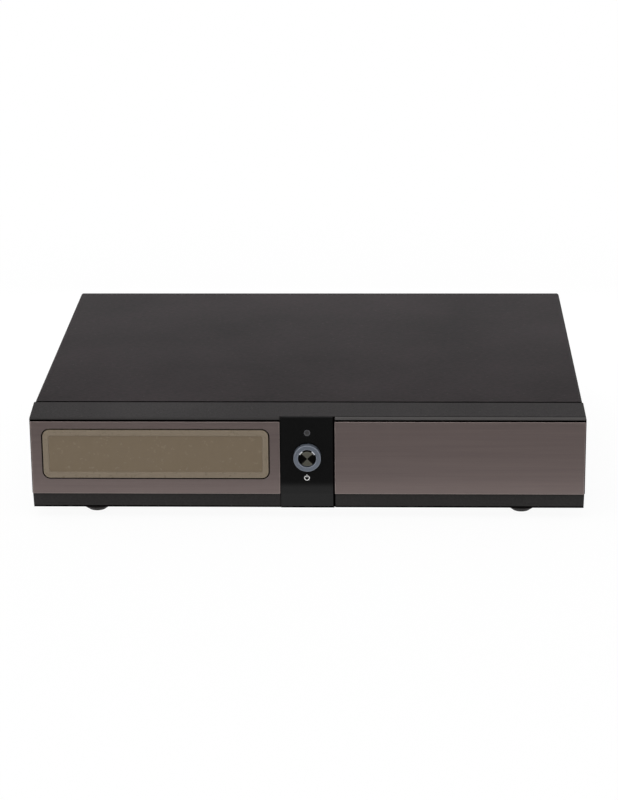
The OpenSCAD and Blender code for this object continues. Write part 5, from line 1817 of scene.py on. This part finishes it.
    def lamps(self) -> list[bpy.types.Object]:
        """Set the two small lamps into the face of the network socket."""
        low, high = box("ethernet_socket")
        (half_x, half_z), (sunk, proud) = self.lamp_half, self.lamp_run
        made = []
        for name, side, finish in (("ethernet_lamp_left", -1, Rack.LAMP_GREEN),
                                   ("ethernet_lamp_right", 1, Rack.LAMP_AMBER)):
            spot = Vector((centre("ethernet_socket").x + side * self.lamp_x, high.y, low.z + self.lamp_rise))
            piece = Workpiece.block(name, spot - Vector((half_x, sunk, half_z)),
                                    spot + Vector((half_x, proud, half_z)))
            made.append(piece.soften(self.lamp_edge).settle(finish, "socket_metal"))
        return made

    def rocker_signs(self) -> list[bpy.types.Object]:
        """Print the bar and the ring on the two ends of the rocker."""
        pivot = spindle("mains_rocker")
        pivot.y = Level.REAR - self.rocker_pivot
        upper, lower = (pivot + Vector((0, self.rocker_face, side * self.sign_out)) for side in (1, -1))
        half = Vector((*self.bar_half, self.sign_half))
        bar = Workpiece.block("rocker_bar", upper - half, upper + half).soften(self.bar_edge, 1)
        ring = Workpiece.hoop("rocker_ring", lower, self.sign_half, self.ring_stroke, self.ring_ink, -90.0)
        slope, made = math.atan2(*self.rocker_slope), []
        for piece, spot, angle in ((bar, upper, slope), (ring, lower, -slope)):
            piece.swung(angle, Axis.X, spot).swung(-math.radians(self.rocker_rest), Axis.X, pivot)
            made.append(piece.settle(Rack.INK, "rocker_plastic", "mains_rocker"))
        return made


@dataclass
class Electronics(Assembly):
    """The boards with what is soldered to them, the disk and the cable."""

    edge: float = 0.12 * MM

    def coats(self) -> list[Coat]:
        """List the solids that are dressed as they are."""
        table = (("front_board", Rack.BOARD), ("display_tube", Rack.TUBE), ("tact_switches", Rack.BLACK),
                 ("main_board", Rack.BOARD), ("board_screws", Rack.NICKEL, "plain_steel"),
                 ("heat_sink", Rack.SINK), ("decoder_chip", Rack.BLACK), ("memory_chips", Rack.BLACK),
                 ("power_board", Rack.POWER_BOARD), ("transformer", Rack.FERRITE),
                 ("power_capacitors", Rack.SLEEVE), ("power_heat_sink", Rack.SINK), ("hard_disk", Rack.SINK),
                 ("disk_bracket", Rack.SHEET), ("disk_screws", Rack.NICKEL, "plain_steel"),
                 ("front_ribbon", Rack.RIBBON))
        return [Coat(node, finish, self.edge, slot="".join(slot)) for node, finish, *slot in table]


@dataclass
class Cooling(Assembly):
    """The fan behind the vents of the rear panel."""

    edge: float = 0.15 * MM

    def coats(self) -> list[Coat]:
        """List the solids that are dressed as they are."""
        return [Coat(node, Rack.BLACK, self.edge) for node in ("fan_frame", "fan_rotor")]


class Backdrop(Nodes):
    """A material of the studio, which has no principled shader."""

    white: ClassVar[tuple[float, ...]] = (1, 1, 1, 1)

    def __init__(self, name: str) -> None:
        """Start a material with nothing but its output.

        Args:
            name: the material's name.
        """
        self.material = bpy.data.materials.new(name)
        self.material.use_nodes = True
        super().__init__(self.material.node_tree)
        self.tree.nodes.remove(self.tree.nodes["Principled BSDF"])
        self.surface = self.tree.nodes["Material Output"].inputs["Surface"]
        self.place = self.node("ShaderNodeTexCoord").outputs["Object"]

    def glow(self, strength: Socket | float) -> Socket:
        """Give a white light of some strength."""
        node = self.node("ShaderNodeEmission")
        self.feed(node.inputs["Color"], self.white)
        self.feed(node.inputs["Strength"], strength)
        return node.outputs[0]


@dataclass
class Studio:
    """The pale floor, the white surround, the lights and the camera."""

    ambient: float = 0.55
    floor_size: float = 12.0
    floor_colour: tuple[float, ...] = (0.9, 0.9, 0.9, 1)
    floor_share: float = 0.94
    floor_fade: Pair = (0.2, 0.7)
    key_place: Point = (-0.2, -0.5, 1.5)
    key_aim: Point = (0.0, 0.0, 0.0)
    key_size: Pair = (1.4, 1.4)
    key_watts: float = 15.0
    back_place: Point = (0.0, 0.36, 0.165)
    back_aim: Point = (0.0, 0.0, 0.07)
    back_size: Pair = (0.9, 0.12)
    back_watts: float = 1.3
    card_gap: float = 0.039
    card_w: float = 2.0
    card_d: float = 1.9
    card_h: float = 2.5
    card_t: float = 1 * MM
    card_lift: Pair = (0.5 * MM, 0.6 * MM)
    card_end: float = 0.4
    card_hold: float = 0.011
    card_fade: float = 0.009
    card_near: float = 0.9
    card_far: float = 0.2
    lens: float = 115.44
    sensor: float = 36.0
    eye: tuple[float, float, float] = (0.05446, -1.61470, 0.56125)
    yaw: float = -2.0521
    pitch: float = 18.1044
    roll: float = -0.5603

    def build(self) -> None:
        """Set the stage."""
        self.surround()
        self.floor()
        self.cards()
        self.lamp("key", self.key_place, self.key_aim, self.key_size, self.key_watts).visible_glossy = False
        self.lamp("back", self.back_place, self.back_aim, self.back_size, self.back_watts)
        self.camera()
        bpy.context.scene.view_settings.view_transform = "Standard"
        LOG.info("Studio: floor, cards, lamps and camera")

    @staticmethod
    def seen(nodes: Nodes) -> Socket:
        """Give one where the ray comes from the camera, a gloss or a clear piece, and zero elsewhere.

        Args:
            nodes: the node tree to build in.

        Returns:
            The switch value.
        """
        path = nodes.node("ShaderNodeLightPath").outputs
        direct = nodes.sum("MAXIMUM", path["Is Camera Ray"], path["Is Glossy Ray"])
        return nodes.sum("MAXIMUM", direct, path["Is Transmission Ray"])

    def surround(self) -> None:
        """Make the white surround, which lights the part more softly than it looks."""
        world = bpy.data.worlds.new("surround")
        bpy.context.scene.world = world
        world.use_nodes = True
        nodes = Nodes(world.node_tree)
        back = nodes.tree.nodes["Background"]
        nodes.feed(back.inputs["Color"], Backdrop.white)
        nodes.feed(back.inputs["Strength"], nodes.span(self.seen(nodes), self.ambient, 1.0, 0.0, 1.0))

    def floor(self) -> None:
        """Lay the white floor, which keeps the part's shadow."""
        Workpiece.clear()
        bpy.ops.mesh.primitive_plane_add(size=self.floor_size, location=(0, 0, 0))
        obj = bpy.context.object
        obj.name = "studio_floor"
        paper = Backdrop("studio_floor")
        reach = paper.node("ShaderNodeVectorMath")
        reach.operation = "LENGTH"
        paper.feed(reach.inputs[0], paper.place)
        fade = paper.span(reach.outputs["Value"], self.floor_share, 1.0, *self.floor_fade, smooth=True)
        diffuse = paper.node("ShaderNodeBsdfDiffuse")
        paper.feed(diffuse.inputs["Color"], self.floor_colour)
        mixed = paper.node("ShaderNodeMixShader")
        share = paper.sum("MULTIPLY", self.seen(paper), fade)
        for socket, source in zip(mixed.inputs, (share, diffuse.outputs[0], paper.glow(1.0))):
            paper.feed(socket, source)
        paper.feed(paper.surface, mixed.outputs[0])
        obj.data.materials.append(paper.material)

    def cards(self) -> None:
        """Set up dark cards that the gloss panel mirrors: on the floor, upright in front and overhead."""
        edge, wide, top = CAD_BOX[0][1] - self.card_gap, self.card_w, self.card_h
        front, hold = edge - self.card_d, edge - self.card_hold
        flat = ((-wide, front, self.card_lift[0]), (wide, edge, self.card_lift[1]))
        wall = ((-wide, front - self.card_t, 0), (wide, front, top))
        roof = ((-wide, front, top), (wide, self.card_end, top + self.card_t))
        for name, (low, high) in (("studio_card", flat), ("studio_flag", wall), ("studio_roof", roof)):
            obj = Workpiece.block(name, low, high).obj
            dark = Backdrop(name)
            _, along, _ = dark.parts(dark.place)
            level = dark.span(along, self.card_far, self.card_near, hold - self.card_fade, hold)
            dark.feed(dark.surface, dark.glow(level))
            obj.data.materials.append(dark.material)
            obj.visible_camera = obj.visible_diffuse = obj.visible_shadow = False

    @staticmethod
    def lamp(name: str, place: Point, aim: Point, size: Pair, watts: float) -> bpy.types.Object:
        """Hang a soft lamp.

        Args:
            name: the lamp's name.
            place: where it hangs.
            aim: the point that it faces.
            size: its width and height.
            watts: its power.

        Returns:
            The lamp.
        """
        data = bpy.data.lights.new(name, "AREA")
        data.shape = "RECTANGLE"
        data.size, data.size_y = size
        data.energy = watts
        obj = bpy.data.objects.new(name, data)
        bpy.context.scene.collection.objects.link(obj)
        obj.location = place
        obj.rotation_euler = (Vector(aim) - Vector(place)).to_track_quat("-Z", "Y").to_euler()
        obj.visible_camera = False
        return obj

    def camera(self) -> None:
        """Stand the camera where the photograph was taken from."""
        yaw, pitch, roll = (math.radians(a) for a in (self.yaw, self.pitch, self.roll))
        ahead = Vector((math.sin(yaw) * math.cos(pitch), math.cos(yaw) * math.cos(pitch), -math.sin(pitch)))
        right = Vector((math.cos(yaw), -math.sin(yaw), 0))
        up = right.cross(ahead)
        side = right * math.cos(roll) + up * math.sin(roll)
        head = up * math.cos(roll) - right * math.sin(roll)
        data = bpy.data.cameras.new("camera")
        data.lens = self.lens
        data.sensor_width = self.sensor
        obj = bpy.data.objects.new("camera", data)
        bpy.context.scene.collection.objects.link(obj)
        turn = Matrix((side, head, -ahead)).transposed()
        obj.matrix_world = Matrix.Translation(self.eye) @ turn.to_4x4()
        bpy.context.scene.camera = obj


def main() -> None:
    """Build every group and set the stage."""
    logging.basicConfig(level=logging.INFO, format="%(message)s")
    groups = (SteelCase(), Fascia(), FlapDoor(), ControlPanel(), RearSockets(), Electronics(), Cooling())
    count = sum(len(group.build()) for group in groups)
    Studio().build()
    LOG.info("%d pieces dressed", count)


if __name__ == "__main__":
    main()
